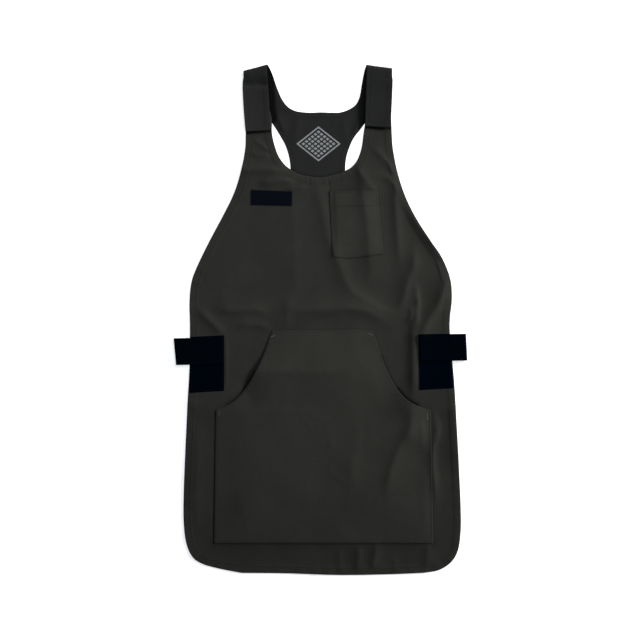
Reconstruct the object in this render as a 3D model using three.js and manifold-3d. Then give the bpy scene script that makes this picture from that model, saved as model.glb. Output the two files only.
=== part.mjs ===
// Grill apron of dark canvas, lying flat on its back with the front facing up.
// Millimetres: +X to the right as seen from above, +Y towards the shoulders, +Z up.
// The origin is the centre of the footprint, on the surface that the apron lies on.
import * as THREE from "three";
import { mergeVertices } from "three/addons/utils/BufferGeometryUtils.js";
import Module from "manifold-3d";

const wasm = await Module();
wasm.setup();

// Thickness of each material, and the air left between two sewn layers
const CANVAS = 1.2;
const WEBBING = 1.6;
const LOOP_TAPE = 1.6;
const LABEL_CLOTH = 1.0;
const SEAM_GAP = 0.3;

// Cells of the lattice on which all the laid cloth is draped
const CELL_ACROSS = 16;
const CELL_ALONG = 22;

// Back strap that hangs from the yoke, hidden behind the front
const BACK_LEFT = -56;
const BACK_RIGHT = 46.5;
const BACK_END = -88;

// Waist strap: it runs behind the front and folds round both side edges
const WAIST_WIDTH = 51;
const WAIST_CENTRE = -55.8;
const WAIST_SLOPE = 0.0153;
const WAIST_SKEW = 0.09;
const WAIST_REACH = 276.7;
const WAIST_FOLD_RADIUS = 4.6;
const WAIST_END_LEFT = -185;
const WAIST_END_RIGHT = 189;
const WAIST_LOOP_FLAT = 22;
const WAIST_LOOP_DROP = 40;

// Shoulder straps: the yoke arms fold over and end on the front straps
const SHOULDER_FOLD_RADIUS = 4;
const SHOULDER_LOOP_FLAT = 30;
const SHOULDER_LOOP_DROP = 48;
const SHOULDER_LEG = 160;

// How far the pockets stand off the front, and how far from a seam they reach that height
const KANGAROO_PUFF = 6;
const KANGAROO_EASE = 65;
const CHEST_PUFF = 3;
const CHEST_EASE = 24;

// Outline of the front, counterclockwise from the top of the left front strap
const FRONT_LEFT_SIDE = [
  { at: "strap top", x: -144, y: 440 },
  { at: "strap foot", x: -142, y: 347 },
  { at: "bib corner", x: -145, y: 312 },
  { at: "upper armhole", x: -153, y: 275 },
  { at: "chest", x: -166, y: 237 },
  { at: "middle armhole", x: -187, y: 195 },
  { at: "lower armhole", x: -211, y: 150 },
  { at: "armhole end", x: -233, y: 105 },
  { at: "turn to the side", x: -245, y: 73 },
  { at: "side", x: -249, y: 35 },
  { at: "waist", x: -248, y: -15 },
  { at: "strap level", x: -249, y: -90 },
  { at: "hip", x: -253, y: -165 },
  { at: "skirt", x: -257, y: -250 },
  { at: "lower skirt", x: -260, y: -330 },
  { at: "widest", x: -260, y: -385 },
  { at: "corner start", x: -255, y: -425 },
  { at: "corner", x: -243, y: -451 },
  { at: "corner end", x: -224, y: -464 },
  { at: "hem slope", x: -192, y: -473 },
  { at: "hem start", x: -150, y: -481 },
];
const FRONT_HEM = [
  { at: "hem start", x: -150, y: -481 },
  { at: "left hem", x: -60, y: -482 },
  { at: "lowest", x: 32, y: -485 },
  { at: "right hem", x: 120, y: -484 },
  { at: "hem end", x: 195, y: -481 },
];
const FRONT_RIGHT_SIDE = [
  { at: "hem end", x: 195, y: -481 },
  { at: "corner start", x: 225, y: -475 },
  { at: "corner", x: 247, y: -460 },
  { at: "corner end", x: 260, y: -439 },
  { at: "lower skirt", x: 266, y: -405 },
  { at: "widest", x: 267, y: -360 },
  { at: "skirt", x: 264, y: -290 },
  { at: "hip", x: 259, y: -200 },
  { at: "below the strap", x: 254, y: -115 },
  { at: "strap level", x: 247, y: -40 },
  { at: "waist", x: 246, y: 0 },
  { at: "side", x: 250, y: 40 },
  { at: "turn to the armhole", x: 247, y: 78 },
  { at: "armhole end", x: 232, y: 117 },
  { at: "lower armhole", x: 207, y: 154 },
  { at: "middle armhole", x: 181, y: 195 },
  { at: "chest", x: 161, y: 236 },
  { at: "upper armhole", x: 148, y: 275 },
  { at: "bib corner", x: 140, y: 312 },
  { at: "strap foot", x: 136, y: 347 },
  { at: "strap top", x: 133, y: 440 },
];
const FRONT_NECKLINE = [
  { at: "right strap top", x: 89, y: 440 },
  { at: "right strap foot", x: 82, y: 358 },
  { at: "right bend", x: 77, y: 323 },
  { at: "right scoop", x: 66, y: 298 },
  { at: "right bottom", x: 46, y: 283 },
  { at: "lowest", x: 4, y: 271.5 },
  { at: "left bottom", x: -36, y: 276 },
  { at: "left scoop", x: -62, y: 290 },
  { at: "left bend", x: -78, y: 309 },
  { at: "left turn", x: -87, y: 332 },
  { at: "left strap foot", x: -92, y: 358 },
  { at: "left strap top", x: -98, y: 440 },
];

// Outline of the yoke: the neck edge from left to right, then both armhole edges from the shoulder down
const YOKE_NECK = [
  { at: "left arm", x: -92, y: 467 },
  { at: "left arm foot", x: -84, y: 444 },
  { at: "left bend", x: -74, y: 421 },
  { at: "left corner", x: -63, y: 406 },
  { at: "left of middle", x: -48, y: 397 },
  { at: "middle left", x: -25, y: 393.5 },
  { at: "middle right", x: 30, y: 393 },
  { at: "right of middle", x: 50, y: 398 },
  { at: "right corner", x: 66, y: 408 },
  { at: "right bend", x: 74, y: 423 },
  { at: "right arm foot", x: 79, y: 445 },
  { at: "right arm", x: 83, y: 466 },
];
const YOKE_LEFT_ARMHOLE = [
  { at: "behind the strap", x: -128, y: 425 },
  { at: "comes into view", x: -93, y: 376 },
  { at: "upper", x: -77, y: 351 },
  { at: "middle", x: -65, y: 328 },
  { at: "lower", x: -58, y: 300 },
  { at: "back strap", x: BACK_LEFT, y: 262 },
];
const YOKE_RIGHT_ARMHOLE = [
  { at: "behind the strap", x: 115, y: 420 },
  { at: "comes into view", x: 80, y: 368 },
  { at: "upper", x: 63, y: 345 },
  { at: "middle", x: 53, y: 322 },
  { at: "lower", x: 48, y: 300 },
  { at: "back strap", x: BACK_RIGHT, y: 262 },
];

// Shoulder straps: the ends of the fold line, then the edges of the part that lies on the front
const SHOULDER_LEFT = {
  foldLeft: { x: -144.5, y: 473.5 },
  foldRight: { x: -103, y: 485 },
  leftEdge: [
    { at: "past the fold", x: -144, y: 492 },
    { at: "fold", x: -144.5, y: 473.5 },
    { at: "upper", x: -147.3, y: 445 },
    { at: "lower", x: -143.5, y: 395 },
    { at: "end", x: -140.5, y: 357 },
  ],
  rightEdge: [
    { at: "end", x: -95, y: 360 },
    { at: "lower", x: -97, y: 405 },
    { at: "upper", x: -101, y: 444 },
    { at: "below the fold", x: -103.5, y: 468 },
    { at: "past the fold", x: -104, y: 492 },
  ],
  tape: [
    { at: "upper left", x: -141.5, y: 424 },
    { at: "upper right", x: -102.5, y: 424 },
    { at: "lower right", x: -99, y: 366 },
    { at: "lower left", x: -136.5, y: 364 },
  ],
};
const SHOULDER_RIGHT = {
  foldLeft: { x: 88, y: 484.3 },
  foldRight: { x: 135, y: 476.5 },
  leftEdge: [
    { at: "past the fold", x: 90, y: 492 },
    { at: "fold", x: 89.5, y: 478 },
    { at: "upper", x: 88.5, y: 450 },
    { at: "lower", x: 86.5, y: 405 },
    { at: "end", x: 85, y: 368 },
  ],
  rightEdge: [
    { at: "end", x: 132, y: 365 },
    { at: "lower", x: 134.5, y: 400 },
    { at: "upper", x: 137, y: 450 },
    { at: "fold", x: 135, y: 476.5 },
    { at: "past the fold", x: 134, y: 492 },
  ],
  tape: [
    { at: "upper left", x: 91.5, y: 424 },
    { at: "upper right", x: 131, y: 424 },
    { at: "lower right", x: 128, y: 371 },
    { at: "lower left", x: 89, y: 373 },
  ],
};

// Kangaroo pocket: two mouths, from the top corner out to the side
const KANGAROO_LEFT_MOUTH = [
  { at: "top corner", x: -91.5, y: -20 },
  { at: "upper", x: -98, y: -32 },
  { at: "first quarter", x: -110, y: -65 },
  { at: "middle", x: -126, y: -98 },
  { at: "third quarter", x: -146, y: -131 },
  { at: "bend", x: -160, y: -149 },
  { at: "lower", x: -174, y: -160 },
  { at: "side corner", x: -199.5, y: -171 },
];
const KANGAROO_RIGHT_MOUTH = [
  { at: "side corner", x: 210, y: -172 },
  { at: "lower", x: 186, y: -162 },
  { at: "bend", x: 167, y: -151 },
  { at: "third quarter", x: 150, y: -133 },
  { at: "middle", x: 135, y: -106 },
  { at: "first quarter", x: 117, y: -67 },
  { at: "upper", x: 104, y: -31 },
  { at: "top corner", x: 99.5, y: -19 },
];
const KANGAROO_BOTTOM = [
  { at: "left corner", x: -203, y: -425 },
  { at: "right corner", x: 214.5, y: -425 },
];

// Flat pieces sewn to the front, by their corners
const CHEST_CORNERS = [
  { at: "upper left", x: 16.5, y: 244.5 },
  { at: "lower left", x: 23, y: 119.5 },
  { at: "bottom", x: 60, y: 117.5 },
  { at: "lower right", x: 119.5, y: 125 },
  { at: "upper right", x: 108.5, y: 246 },
];
const LABEL_CORNERS = [
  { at: "upper left", x: -131, y: 247 },
  { at: "lower left", x: -131, y: 219 },
  { at: "lower right", x: -54.5, y: 217 },
  { at: "upper right", x: -53.5, y: 244 },
];
const PATCH_LEFT_CORNERS = [
  { at: "upper left", x: -247.5, y: -32 },
  { at: "lower left", x: -248, y: -138 },
  { at: "lower right", x: -183, y: -134 },
  { at: "upper right", x: -183, y: -29 },
];
const PATCH_RIGHT_CORNERS = [
  { at: "upper left", x: 186, y: -27 },
  { at: "lower left", x: 188.5, y: -132.5 },
  { at: "lower right", x: 252.5, y: -129 },
  { at: "upper right", x: 246, y: -26 },
];

// Main folds: a ridge of the given height along a line, falling away over the given distance
const FRONT_FOLDS = [
  { name: "roll above the pocket", fromX: -161, fromY: 22, toX: 124, toY: 26, height: 3.5, reach: 30 },
  { name: "right waist ridge", fromX: 187, fromY: 76, toX: 181, toY: 14, height: 6, reach: 17 },
  { name: "ridge beside the right patch", fromX: 163, fromY: -14, toX: 163, toY: -150, height: 5, reach: 17 },
  { name: "right waist edge", fromX: 234, fromY: 98, toX: 239, toY: -2, height: 4, reach: 20 },
  { name: "ridge beside the pocket", fromX: 224, fromY: -187, toX: 225, toY: -352, height: 5, reach: 18 },
  { name: "right skirt edge", fromX: 257, fromY: -210, toX: 263, toY: -352, height: 4, reach: 20 },
  { name: "left waist diagonal", fromX: -241, fromY: 22, toX: -206, toY: 0, height: 3, reach: 18 },
  { name: "bib diagonal", fromX: 42, fromY: 105, toX: 125, toY: 28, height: 3, reach: 20 },
  { name: "neckline to chest pocket", fromX: 72, fromY: 288, toX: 105, toY: 250, height: 4, reach: 16 },
  { name: "left shoulder diagonal", fromX: -138, fromY: 297, toX: -54, toY: 262, height: 3, reach: 16 },
  { name: "right shoulder", fromX: 126, fromY: 307, toX: 143, toY: 236, height: 3, reach: 16 },
  { name: "right armhole edge", fromX: 162, fromY: 217, toX: 222, toY: 128, height: 4, reach: 20 },
  { name: "first hem ripple", fromX: 60, fromY: -440, toX: 57, toY: -484, height: 2.5, reach: 16 },
  { name: "second hem ripple", fromX: 104, fromY: -440, toX: 107, toY: -484, height: 2.5, reach: 16 },
  { name: "left skirt", fromX: -230, fromY: -190, toX: -234, toY: -410, height: 2.5, reach: 22 },
];
const KANGAROO_FOLDS = [
  { name: "pocket crease", fromX: 167, fromY: -186, toX: 122, toY: -293, height: 4, reach: 20 },
];

const CANVAS_LOOK = new THREE.MeshStandardMaterial({ color: "#30312e", roughness: 0.9, metalness: 0 });
CANVAS_LOOK.name = "canvas";
const LOOP_LOOK = new THREE.MeshStandardMaterial({ color: "#0a0c12", roughness: 0.95, metalness: 0 });
LOOP_LOOK.name = "loop_tape";
const WEBBING_LOOK = new THREE.MeshStandardMaterial({ color: "#0b0c11", roughness: 0.8, metalness: 0 });
WEBBING_LOOK.name = "webbing";
const LABEL_LOOK = new THREE.MeshStandardMaterial({ color: "#0c0f18", roughness: 0.7, metalness: 0 });
LABEL_LOOK.name = "label_cloth";

const { smoothstep, mapLinear } = THREE.MathUtils;

// One inside the range, easing to zero over the given run on either side of it
function plateau(value, low, high, run) {
  return smoothstep(value, low - run, low) * (1 - smoothstep(value, high, high + run));
}

// Height of a ridge at a point: greatest on its line, zero at its reach
function ridge(fold, x, y) {
  const alongX = fold.toX - fold.fromX;
  const alongY = fold.toY - fold.fromY;
  const share = ((x - fold.fromX) * alongX + (y - fold.fromY) * alongY) / (alongX ** 2 + alongY ** 2);
  const held = THREE.MathUtils.clamp(share, 0, 1);
  const away = Math.hypot(x - fold.fromX - held * alongX, y - fold.fromY - held * alongY);
  return fold.height * Math.cos(Math.min(away / fold.reach, 1) * Math.PI / 2) ** 2;
}

function ridges(folds, x, y) {
  return folds.reduce((total, fold) => total + ridge(fold, x, y), 0);
}

// Underside of the front: it rests on the surface, on the yoke and back strap, and on the waist strap
function frontUnderside(x, y) {
  const overStrap = plateau(x, BACK_LEFT - 20, BACK_RIGHT + 20, 40) * smoothstep(y, BACK_END - 62, BACK_END - 22);
  const overYoke = smoothstep(y, 210, 255);
  const overWaist = plateau(y, -108, -4, 40);
  const overPatches = plateau(y, -162, -4, 40) * smoothstep(Math.abs(x), 120, 165);
  const back = (CANVAS + SEAM_GAP) * Math.max(overStrap, overYoke);
  const waist = (WEBBING + SEAM_GAP) * Math.max(overWaist, overPatches);
  return back + waist + ridges(FRONT_FOLDS, x, y);
}

function frontTop(x, y) {
  return frontUnderside(x, y) + CANVAS;
}

// Underside of a piece sewn flat on the front
function onFront(x, y) {
  return frontTop(x, y) + SEAM_GAP;
}

// Undersides of the pockets: they leave the front away from their seams and stay open at their mouths
function kangarooUnderside(x, y) {
  const left = smoothstep(x + 201, 0, KANGAROO_EASE);
  const right = smoothstep(212 - x, 0, KANGAROO_EASE);
  const bottom = smoothstep(y + 425, 0, KANGAROO_EASE);
  const top = smoothstep(-20 - y, 0, KANGAROO_EASE);
  const puff = KANGAROO_PUFF * left * right * bottom * top;
  return onFront(x, y) + puff + ridges(KANGAROO_FOLDS, x, y) * left * right;
}

function chestUnderside(x, y) {
  const leftSeam = mapLinear(y, 244.5, 119.5, 16.5, 23);
  const rightSeam = mapLinear(y, 246, 125, 108.5, 119.5);
  const left = smoothstep(x - leftSeam, 0, CHEST_EASE);
  const right = smoothstep(rightSeam - x, 0, CHEST_EASE);
  const bottom = smoothstep(y - 119, 0, CHEST_EASE);
  return onFront(x, y) + CHEST_PUFF * left * right * bottom;
}

// Closed solid of a geometry
function solidOf(geometry) {
  geometry.deleteAttribute("normal");
  geometry.deleteAttribute("uv");
  const merged = mergeVertices(geometry, 1e-4);
  const vertProperties = new Float32Array(merged.attributes.position.array);
  const triVerts = new Uint32Array(merged.index.array);
  return new wasm.Manifold(new wasm.Mesh({ numProp: 3, vertProperties, triVerts }));
}

// Outline made of stretches: a smooth curve through each, joined by straight lines
function outline(...stretches) {
  const shape = new THREE.Shape();
  stretches.forEach((rows, index) => {
    const points = rows.map(({ x, y }) => new THREE.Vector2(x, y));
    const start = points.shift();
    if (index === 0) {
      shape.moveTo(start.x, start.y);
    } else {
      shape.lineTo(start.x, start.y);
    }
    if (points.length > 0) {
      shape.splineThru(points);
    }
  });
  return shape;
}

// Straight-sided outline through the corners
function cornered(rows) {
  return new THREE.Shape(rows.map(({ x, y }) => new THREE.Vector2(x, y)));
}

// Upright prism of an outline between two heights
function prism(shape, low, high, curveSegments) {
  const geometry = new THREE.ExtrudeGeometry(shape, { depth: high - low, bevelEnabled: false, curveSegments });
  geometry.translate(0, 0, low);
  return solidOf(geometry);
}

// Sheet over the lattice: one face at the underside height, the other at the thickness above it
function drapedSheet(shape, underside, thickness) {
  const box = new THREE.Box2().setFromPoints(shape.getPoints(4));
  const firstColumn = Math.floor(box.min.x / CELL_ACROSS) - 1;
  const firstRow = Math.floor(box.min.y / CELL_ALONG) - 1;
  const columns = Math.ceil(box.max.x / CELL_ACROSS) + 1 - firstColumn;
  const rows = Math.ceil(box.max.y / CELL_ALONG) + 1 - firstRow;
  const layer = (columns + 1) * (rows + 1);
  const positions = [];
  for (const lift of [0, thickness]) {
    for (let row = 0; row <= rows; row += 1) {
      for (let column = 0; column <= columns; column += 1) {
        const x = (firstColumn + column) * CELL_ACROSS;
        const y = (firstRow + row) * CELL_ALONG;
        positions.push(x, y, underside(x, y) + lift);
      }
    }
  }
  const corner = (column, row) => row * (columns + 1) + column;
  const faces = [];
  for (let row = 0; row < rows; row += 1) {
    for (let column = 0; column < columns; column += 1) {
      const nearLeft = corner(column, row);
      const nearRight = corner(column + 1, row);
      const farLeft = corner(column, row + 1);
      const farRight = corner(column + 1, row + 1);
      faces.push(nearLeft, farRight, nearRight, nearLeft, farLeft, farRight);
      faces.push(layer + nearLeft, layer + nearRight, layer + farRight);
      faces.push(layer + nearLeft, layer + farRight, layer + farLeft);
    }
  }
  const wall = (first, second) => {
    faces.push(first, second, layer + second, first, layer + second, layer + first);
  };
  for (let column = 0; column < columns; column += 1) {
    wall(corner(column, 0), corner(column + 1, 0));
    wall(corner(column + 1, rows), corner(column, rows));
  }
  for (let row = 0; row < rows; row += 1) {
    wall(corner(columns, row), corner(columns, row + 1));
    wall(corner(0, row + 1), corner(0, row));
  }
  const geometry = new THREE.BufferGeometry();
  geometry.setAttribute("position", new THREE.Float32BufferAttribute(positions, 3));
  geometry.setIndex(faces);
  return solidOf(geometry).intersect(prism(shape, -20, 60, 3));
}

// Folded end of a shoulder strap: seen from the side, a half ring and a leg that drops onto the front strap
function shoulderStrap({ foldLeft, foldRight, leftEdge, rightEdge }) {
  const radius = SHOULDER_FOLD_RADIUS;
  const top = 2 * radius;
  const rest = onShoulderTape();
  const flat = SHOULDER_LOOP_FLAT;
  const drop = SHOULDER_LOOP_DROP;
  const middle = (flat + drop) / 2;
  const side = new THREE.Shape();
  side.moveTo(radius + 2, 0);
  side.lineTo(radius, 0);
  side.absarc(radius, radius, radius, -Math.PI / 2, -1.5 * Math.PI, true);
  side.lineTo(flat, top);
  side.bezierCurveTo(middle, top, middle, rest + CANVAS, drop, rest + CANVAS);
  side.lineTo(SHOULDER_LEG, rest + CANVAS);
  side.lineTo(SHOULDER_LEG, rest);
  side.lineTo(drop, rest);
  side.bezierCurveTo(middle, rest, middle, top - CANVAS, flat, top - CANVAS);
  side.lineTo(radius, top - CANVAS);
  side.absarc(radius, radius, radius - CANVAS, Math.PI / 2, 1.5 * Math.PI, false);
  side.lineTo(radius + 2, CANVAS);

  const margin = 20;
  const along = new THREE.Vector3(foldRight.x - foldLeft.x, foldRight.y - foldLeft.y, 0);
  const width = along.length();
  along.normalize();
  const up = new THREE.Vector3(0, 0, 1);
  const inward = new THREE.Vector3(along.y, -along.x, 0);
  const back = along.clone().negate();
  const geometry = new THREE.ExtrudeGeometry(side, {
    depth: width + 2 * margin,
    bevelEnabled: false,
    curveSegments: 8,
  });
  const place = new THREE.Matrix4().makeBasis(inward, up, back);
  place.setPosition(foldRight.x + along.x * margin, foldRight.y + along.y * margin, 0);
  geometry.applyMatrix4(place);
  return solidOf(geometry).intersect(prism(outline(leftEdge, rightEdge), -20, 60, 4));
}

// Height of the top of the hidden tape, plus the gap: the strap ends rest there
function onShoulderTape() {
  return 2 * CANVAS + LOOP_TAPE + 3 * SEAM_GAP;
}

// Point of a fold line, moved inward by the fold radius: the flat arm ends there
function armEnd(point, { foldLeft, foldRight }) {
  const length = Math.hypot(foldRight.x - foldLeft.x, foldRight.y - foldLeft.y);
  const inwardX = (foldRight.y - foldLeft.y) / length;
  const inwardY = (foldLeft.x - foldRight.x) / length;
  return { x: point.x + inwardX * SHOULDER_FOLD_RADIUS, y: point.y + inwardY * SHOULDER_FOLD_RADIUS };
}

// Yoke: the flat racer back with both folded shoulder straps
function backYoke() {
  const leftOuter = armEnd(SHOULDER_LEFT.foldLeft, SHOULDER_LEFT);
  const leftInner = armEnd(SHOULDER_LEFT.foldRight, SHOULDER_LEFT);
  const rightInner = armEnd(SHOULDER_RIGHT.foldLeft, SHOULDER_RIGHT);
  const rightOuter = armEnd(SHOULDER_RIGHT.foldRight, SHOULDER_RIGHT);
  const flat = outline(
    [leftOuter, ...YOKE_LEFT_ARMHOLE],
    [{ x: BACK_LEFT, y: BACK_END }],
    [{ x: BACK_RIGHT, y: BACK_END }],
    [...YOKE_RIGHT_ARMHOLE].reverse().concat([rightOuter]),
    [rightInner, ...[...YOKE_NECK].reverse(), leftInner],
  );
  return prism(flat, 0, CANVAS, 3)
    .add(shoulderStrap(SHOULDER_LEFT))
    .add(shoulderStrap(SHOULDER_RIGHT));
}

// Hidden tape between a front strap and the strap end on it
function shoulderTape({ tape }) {
  const low = 2 * CANVAS + 2 * SEAM_GAP;
  return prism(cornered(tape), low, low + LOOP_TAPE, 1);
}

// Waist strap, seen along the apron: the run behind the front, a half ring at each side, and the ends
function waistStrap() {
  const radius = WAIST_FOLD_RADIUS;
  const top = 2 * radius;
  const step = CANVAS + SEAM_GAP;
  const rest = WEBBING + CANVAS + LOOP_TAPE + 3 * SEAM_GAP;
  const left = -WAIST_REACH + radius;
  const right = WAIST_REACH - radius;
  const leftFlat = -WAIST_REACH + WAIST_LOOP_FLAT;
  const leftDrop = -WAIST_REACH + WAIST_LOOP_DROP;
  const leftMiddle = (leftFlat + leftDrop) / 2;
  const rightFlat = WAIST_REACH - WAIST_LOOP_FLAT;
  const rightDrop = WAIST_REACH - WAIST_LOOP_DROP;
  const rightMiddle = (rightFlat + rightDrop) / 2;
  const side = new THREE.Shape();
  side.moveTo(WAIST_END_LEFT, rest + WEBBING);
  side.lineTo(leftDrop, rest + WEBBING);
  side.bezierCurveTo(leftMiddle, rest + WEBBING, leftMiddle, top, leftFlat, top);
  side.lineTo(left, top);
  side.absarc(left, radius, radius, Math.PI / 2, 1.5 * Math.PI, false);
  side.lineTo(BACK_LEFT - 34, 0);
  side.lineTo(BACK_LEFT - 10, step);
  side.lineTo(BACK_RIGHT + 10, step);
  side.lineTo(BACK_RIGHT + 34, 0);
  side.lineTo(right, 0);
  side.absarc(right, radius, radius, -Math.PI / 2, Math.PI / 2, false);
  side.lineTo(rightFlat, top);
  side.bezierCurveTo(rightMiddle, top, rightMiddle, rest + WEBBING, rightDrop, rest + WEBBING);
  side.lineTo(WAIST_END_RIGHT, rest + WEBBING);
  side.lineTo(WAIST_END_RIGHT, rest);
  side.lineTo(rightDrop, rest);
  side.bezierCurveTo(rightMiddle, rest, rightMiddle, top - WEBBING, rightFlat, top - WEBBING);
  side.lineTo(right, top - WEBBING);
  side.absarc(right, radius, radius - WEBBING, Math.PI / 2, -Math.PI / 2, true);
  side.lineTo(BACK_RIGHT + 34, WEBBING);
  side.lineTo(BACK_RIGHT + 10, step + WEBBING);
  side.lineTo(BACK_LEFT - 10, step + WEBBING);
  side.lineTo(BACK_LEFT - 34, WEBBING);
  side.lineTo(left, WEBBING);
  side.absarc(left, radius, radius - WEBBING, 1.5 * Math.PI, Math.PI / 2, true);
  side.lineTo(leftFlat, top - WEBBING);
  side.bezierCurveTo(leftMiddle, top - WEBBING, leftMiddle, rest, leftDrop, rest);
  side.lineTo(WAIST_END_LEFT, rest);

  const geometry = new THREE.ExtrudeGeometry(side, { depth: WAIST_WIDTH, bevelEnabled: false, curveSegments: 8 });
  geometry.translate(0, 0, -WAIST_WIDTH / 2);
  geometry.rotateX(Math.PI / 2);
  const lay = new THREE.Matrix4();
  lay.set(1, -WAIST_SKEW, 0, 0, WAIST_SLOPE, 1, 0, WAIST_CENTRE, 0, 0, 1, 0, 0, 0, 0, 1);
  geometry.applyMatrix4(lay);
  return solidOf(geometry);
}

const frontShape = outline(FRONT_LEFT_SIDE, FRONT_HEM, FRONT_RIGHT_SIDE, FRONT_NECKLINE);
const kangarooShape = outline(
  KANGAROO_LEFT_MOUTH,
  [KANGAROO_BOTTOM[0]],
  [KANGAROO_BOTTOM[1]],
  KANGAROO_RIGHT_MOUTH,
);

const group = new THREE.Group();
group.name = "grill_apron";

function addPiece(name, solid, material) {
  const { vertProperties, triVerts } = solid.getMesh();
  const geometry = new THREE.BufferGeometry();
  geometry.setAttribute("position", new THREE.BufferAttribute(vertProperties, 3));
  geometry.setIndex(new THREE.BufferAttribute(triVerts, 1));
  geometry.computeVertexNormals();
  const mesh = new THREE.Mesh(geometry, material);
  mesh.name = name;
  group.add(mesh);
}

addPiece("front_panel", drapedSheet(frontShape, frontUnderside, CANVAS), CANVAS_LOOK);
addPiece("back_yoke", backYoke(), CANVAS_LOOK);
addPiece("kangaroo_pocket", drapedSheet(kangarooShape, kangarooUnderside, CANVAS), CANVAS_LOOK);
addPiece("chest_pocket", drapedSheet(cornered(CHEST_CORNERS), chestUnderside, CANVAS), CANVAS_LOOK);
addPiece("side_patch_left", drapedSheet(cornered(PATCH_LEFT_CORNERS), onFront, LOOP_TAPE), LOOP_LOOK);
addPiece("side_patch_right", drapedSheet(cornered(PATCH_RIGHT_CORNERS), onFront, LOOP_TAPE), LOOP_LOOK);
addPiece("waist_strap", waistStrap(), WEBBING_LOOK);
addPiece("shoulder_tape_left", shoulderTape(SHOULDER_LEFT), LOOP_LOOK);
addPiece("shoulder_tape_right", shoulderTape(SHOULDER_RIGHT), LOOP_LOOK);
addPiece("chest_label", drapedSheet(cornered(LABEL_CORNERS), onFront, LABEL_CLOTH), LABEL_LOOK);

export default group;
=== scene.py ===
import bpy
import numpy as np
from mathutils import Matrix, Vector
from mathutils.geometry import delaunay_2d_cdt


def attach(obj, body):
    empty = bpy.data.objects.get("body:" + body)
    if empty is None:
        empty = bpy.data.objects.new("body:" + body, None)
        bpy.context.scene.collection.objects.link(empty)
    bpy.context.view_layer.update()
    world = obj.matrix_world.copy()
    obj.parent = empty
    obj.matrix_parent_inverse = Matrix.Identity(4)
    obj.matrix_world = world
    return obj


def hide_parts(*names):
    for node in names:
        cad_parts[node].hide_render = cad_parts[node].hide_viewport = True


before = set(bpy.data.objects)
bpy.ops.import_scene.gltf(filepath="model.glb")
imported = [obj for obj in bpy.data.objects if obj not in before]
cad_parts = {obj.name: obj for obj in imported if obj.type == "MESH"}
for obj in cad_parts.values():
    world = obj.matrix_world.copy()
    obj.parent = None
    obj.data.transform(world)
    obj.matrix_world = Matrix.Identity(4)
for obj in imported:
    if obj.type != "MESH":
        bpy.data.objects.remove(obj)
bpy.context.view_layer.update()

# Front panel: bib, two shoulder straps and skirt, cut in one piece from washed cotton canvas.
# Its edges are turned to the back and stitched down. It lies over the yoke's back strap and the
# waist strap, and still has the folds of its packing in it. Lengths are in millimetres.
MM = 0.001
CANVAS = 1.2
LEFT_SIDE = [
    (-144, 440), (-142, 347), (-145, 312), (-153, 275), (-166, 237), (-187, 195), (-211, 150),
    (-233, 105), (-245, 73), (-249, 35), (-248, -15), (-249, -90), (-253, -165), (-257, -250),
    (-260, -330), (-260, -385), (-255, -425), (-243, -451), (-224, -464), (-192, -473), (-150, -481),
]
SKIRT_HEM = [(-150, -481), (-60, -482), (32, -485), (120, -484), (195, -481)]
RIGHT_SIDE = [
    (195, -481), (226, -475.5), (248.2, -461), (261.2, -439.5), (266.6, -405), (267, -360), (264, -290),
    (259, -200), (254, -115), (247, -40), (246, 0), (250, 40), (247, 78), (232, 117), (207, 154),
    (181, 195), (161, 236), (148, 275), (140, 312), (136, 347), (133, 440),
]
NECKLINE = [
    (92, 440), (90, 398), (84.5, 370), (82, 356), (77, 323), (66, 298), (46, 283), (4, 271.5), (-36, 276),
    (-62, 290), (-78, 309), (-87, 332), (-92, 356), (-92.5, 380), (-98, 405), (-102, 440),
]


def direction(line):
    """The unit way along a line at each of its points."""
    way = np.gradient(line, axis=0)
    return way / np.linalg.norm(way, axis=1, keepdims=True)


def leftward(line):
    """The unit way to the left of a line at each of its points."""
    way = direction(line)
    return np.stack([-way[:, 1], way[:, 0]], 1)


def along_line(line):
    """How far along a line each of its points is."""
    return np.append(0, np.cumsum(np.linalg.norm(np.diff(line, axis=0), axis=1)))


SPAN_PARTS = 40


def smooth_line(points, step):
    """A curve through the points: each span is a cubic whose slope at a point is half the chord
    between that point's neighbours. The curve is then divided evenly, about step mm apart."""
    rows = np.asarray(points, float)
    rows = np.vstack([rows[:1], rows, rows[-1:]])
    before, start, end, after = rows[:-3, None], rows[1:-2, None], rows[2:-1, None], rows[3:, None]
    leave, arrive = (end - before) / 2, (after - start) / 2
    t = np.linspace(0, 1, SPAN_PARTS, endpoint=False)[None, :, None]
    curve = (2 * start - 2 * end + leave + arrive) * t ** 3
    curve = curve + (3 * end - 3 * start - 2 * leave - arrive) * t ** 2 + leave * t + start
    curve = np.vstack([curve.reshape(-1, 2), rows[-1:]])
    along = along_line(curve)
    even = np.linspace(0, along[-1], max(2, int(round(along[-1] / step)) + 1))
    return np.stack([np.interp(even, along, curve[:, k]) for k in (0, 1)], 1)


FRONT_STEP, NECK_STEP = 3.0, 1.6
front_cut = [
    smooth_line(LEFT_SIDE, FRONT_STEP),
    smooth_line(SKIRT_HEM, FRONT_STEP),
    smooth_line(RIGHT_SIDE, FRONT_STEP),
    smooth_line([RIGHT_SIDE[-1], NECKLINE[0]], FRONT_STEP),
    smooth_line(NECKLINE, NECK_STEP),
    smooth_line([NECKLINE[-1], LEFT_SIDE[0]], FRONT_STEP),
]

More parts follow.
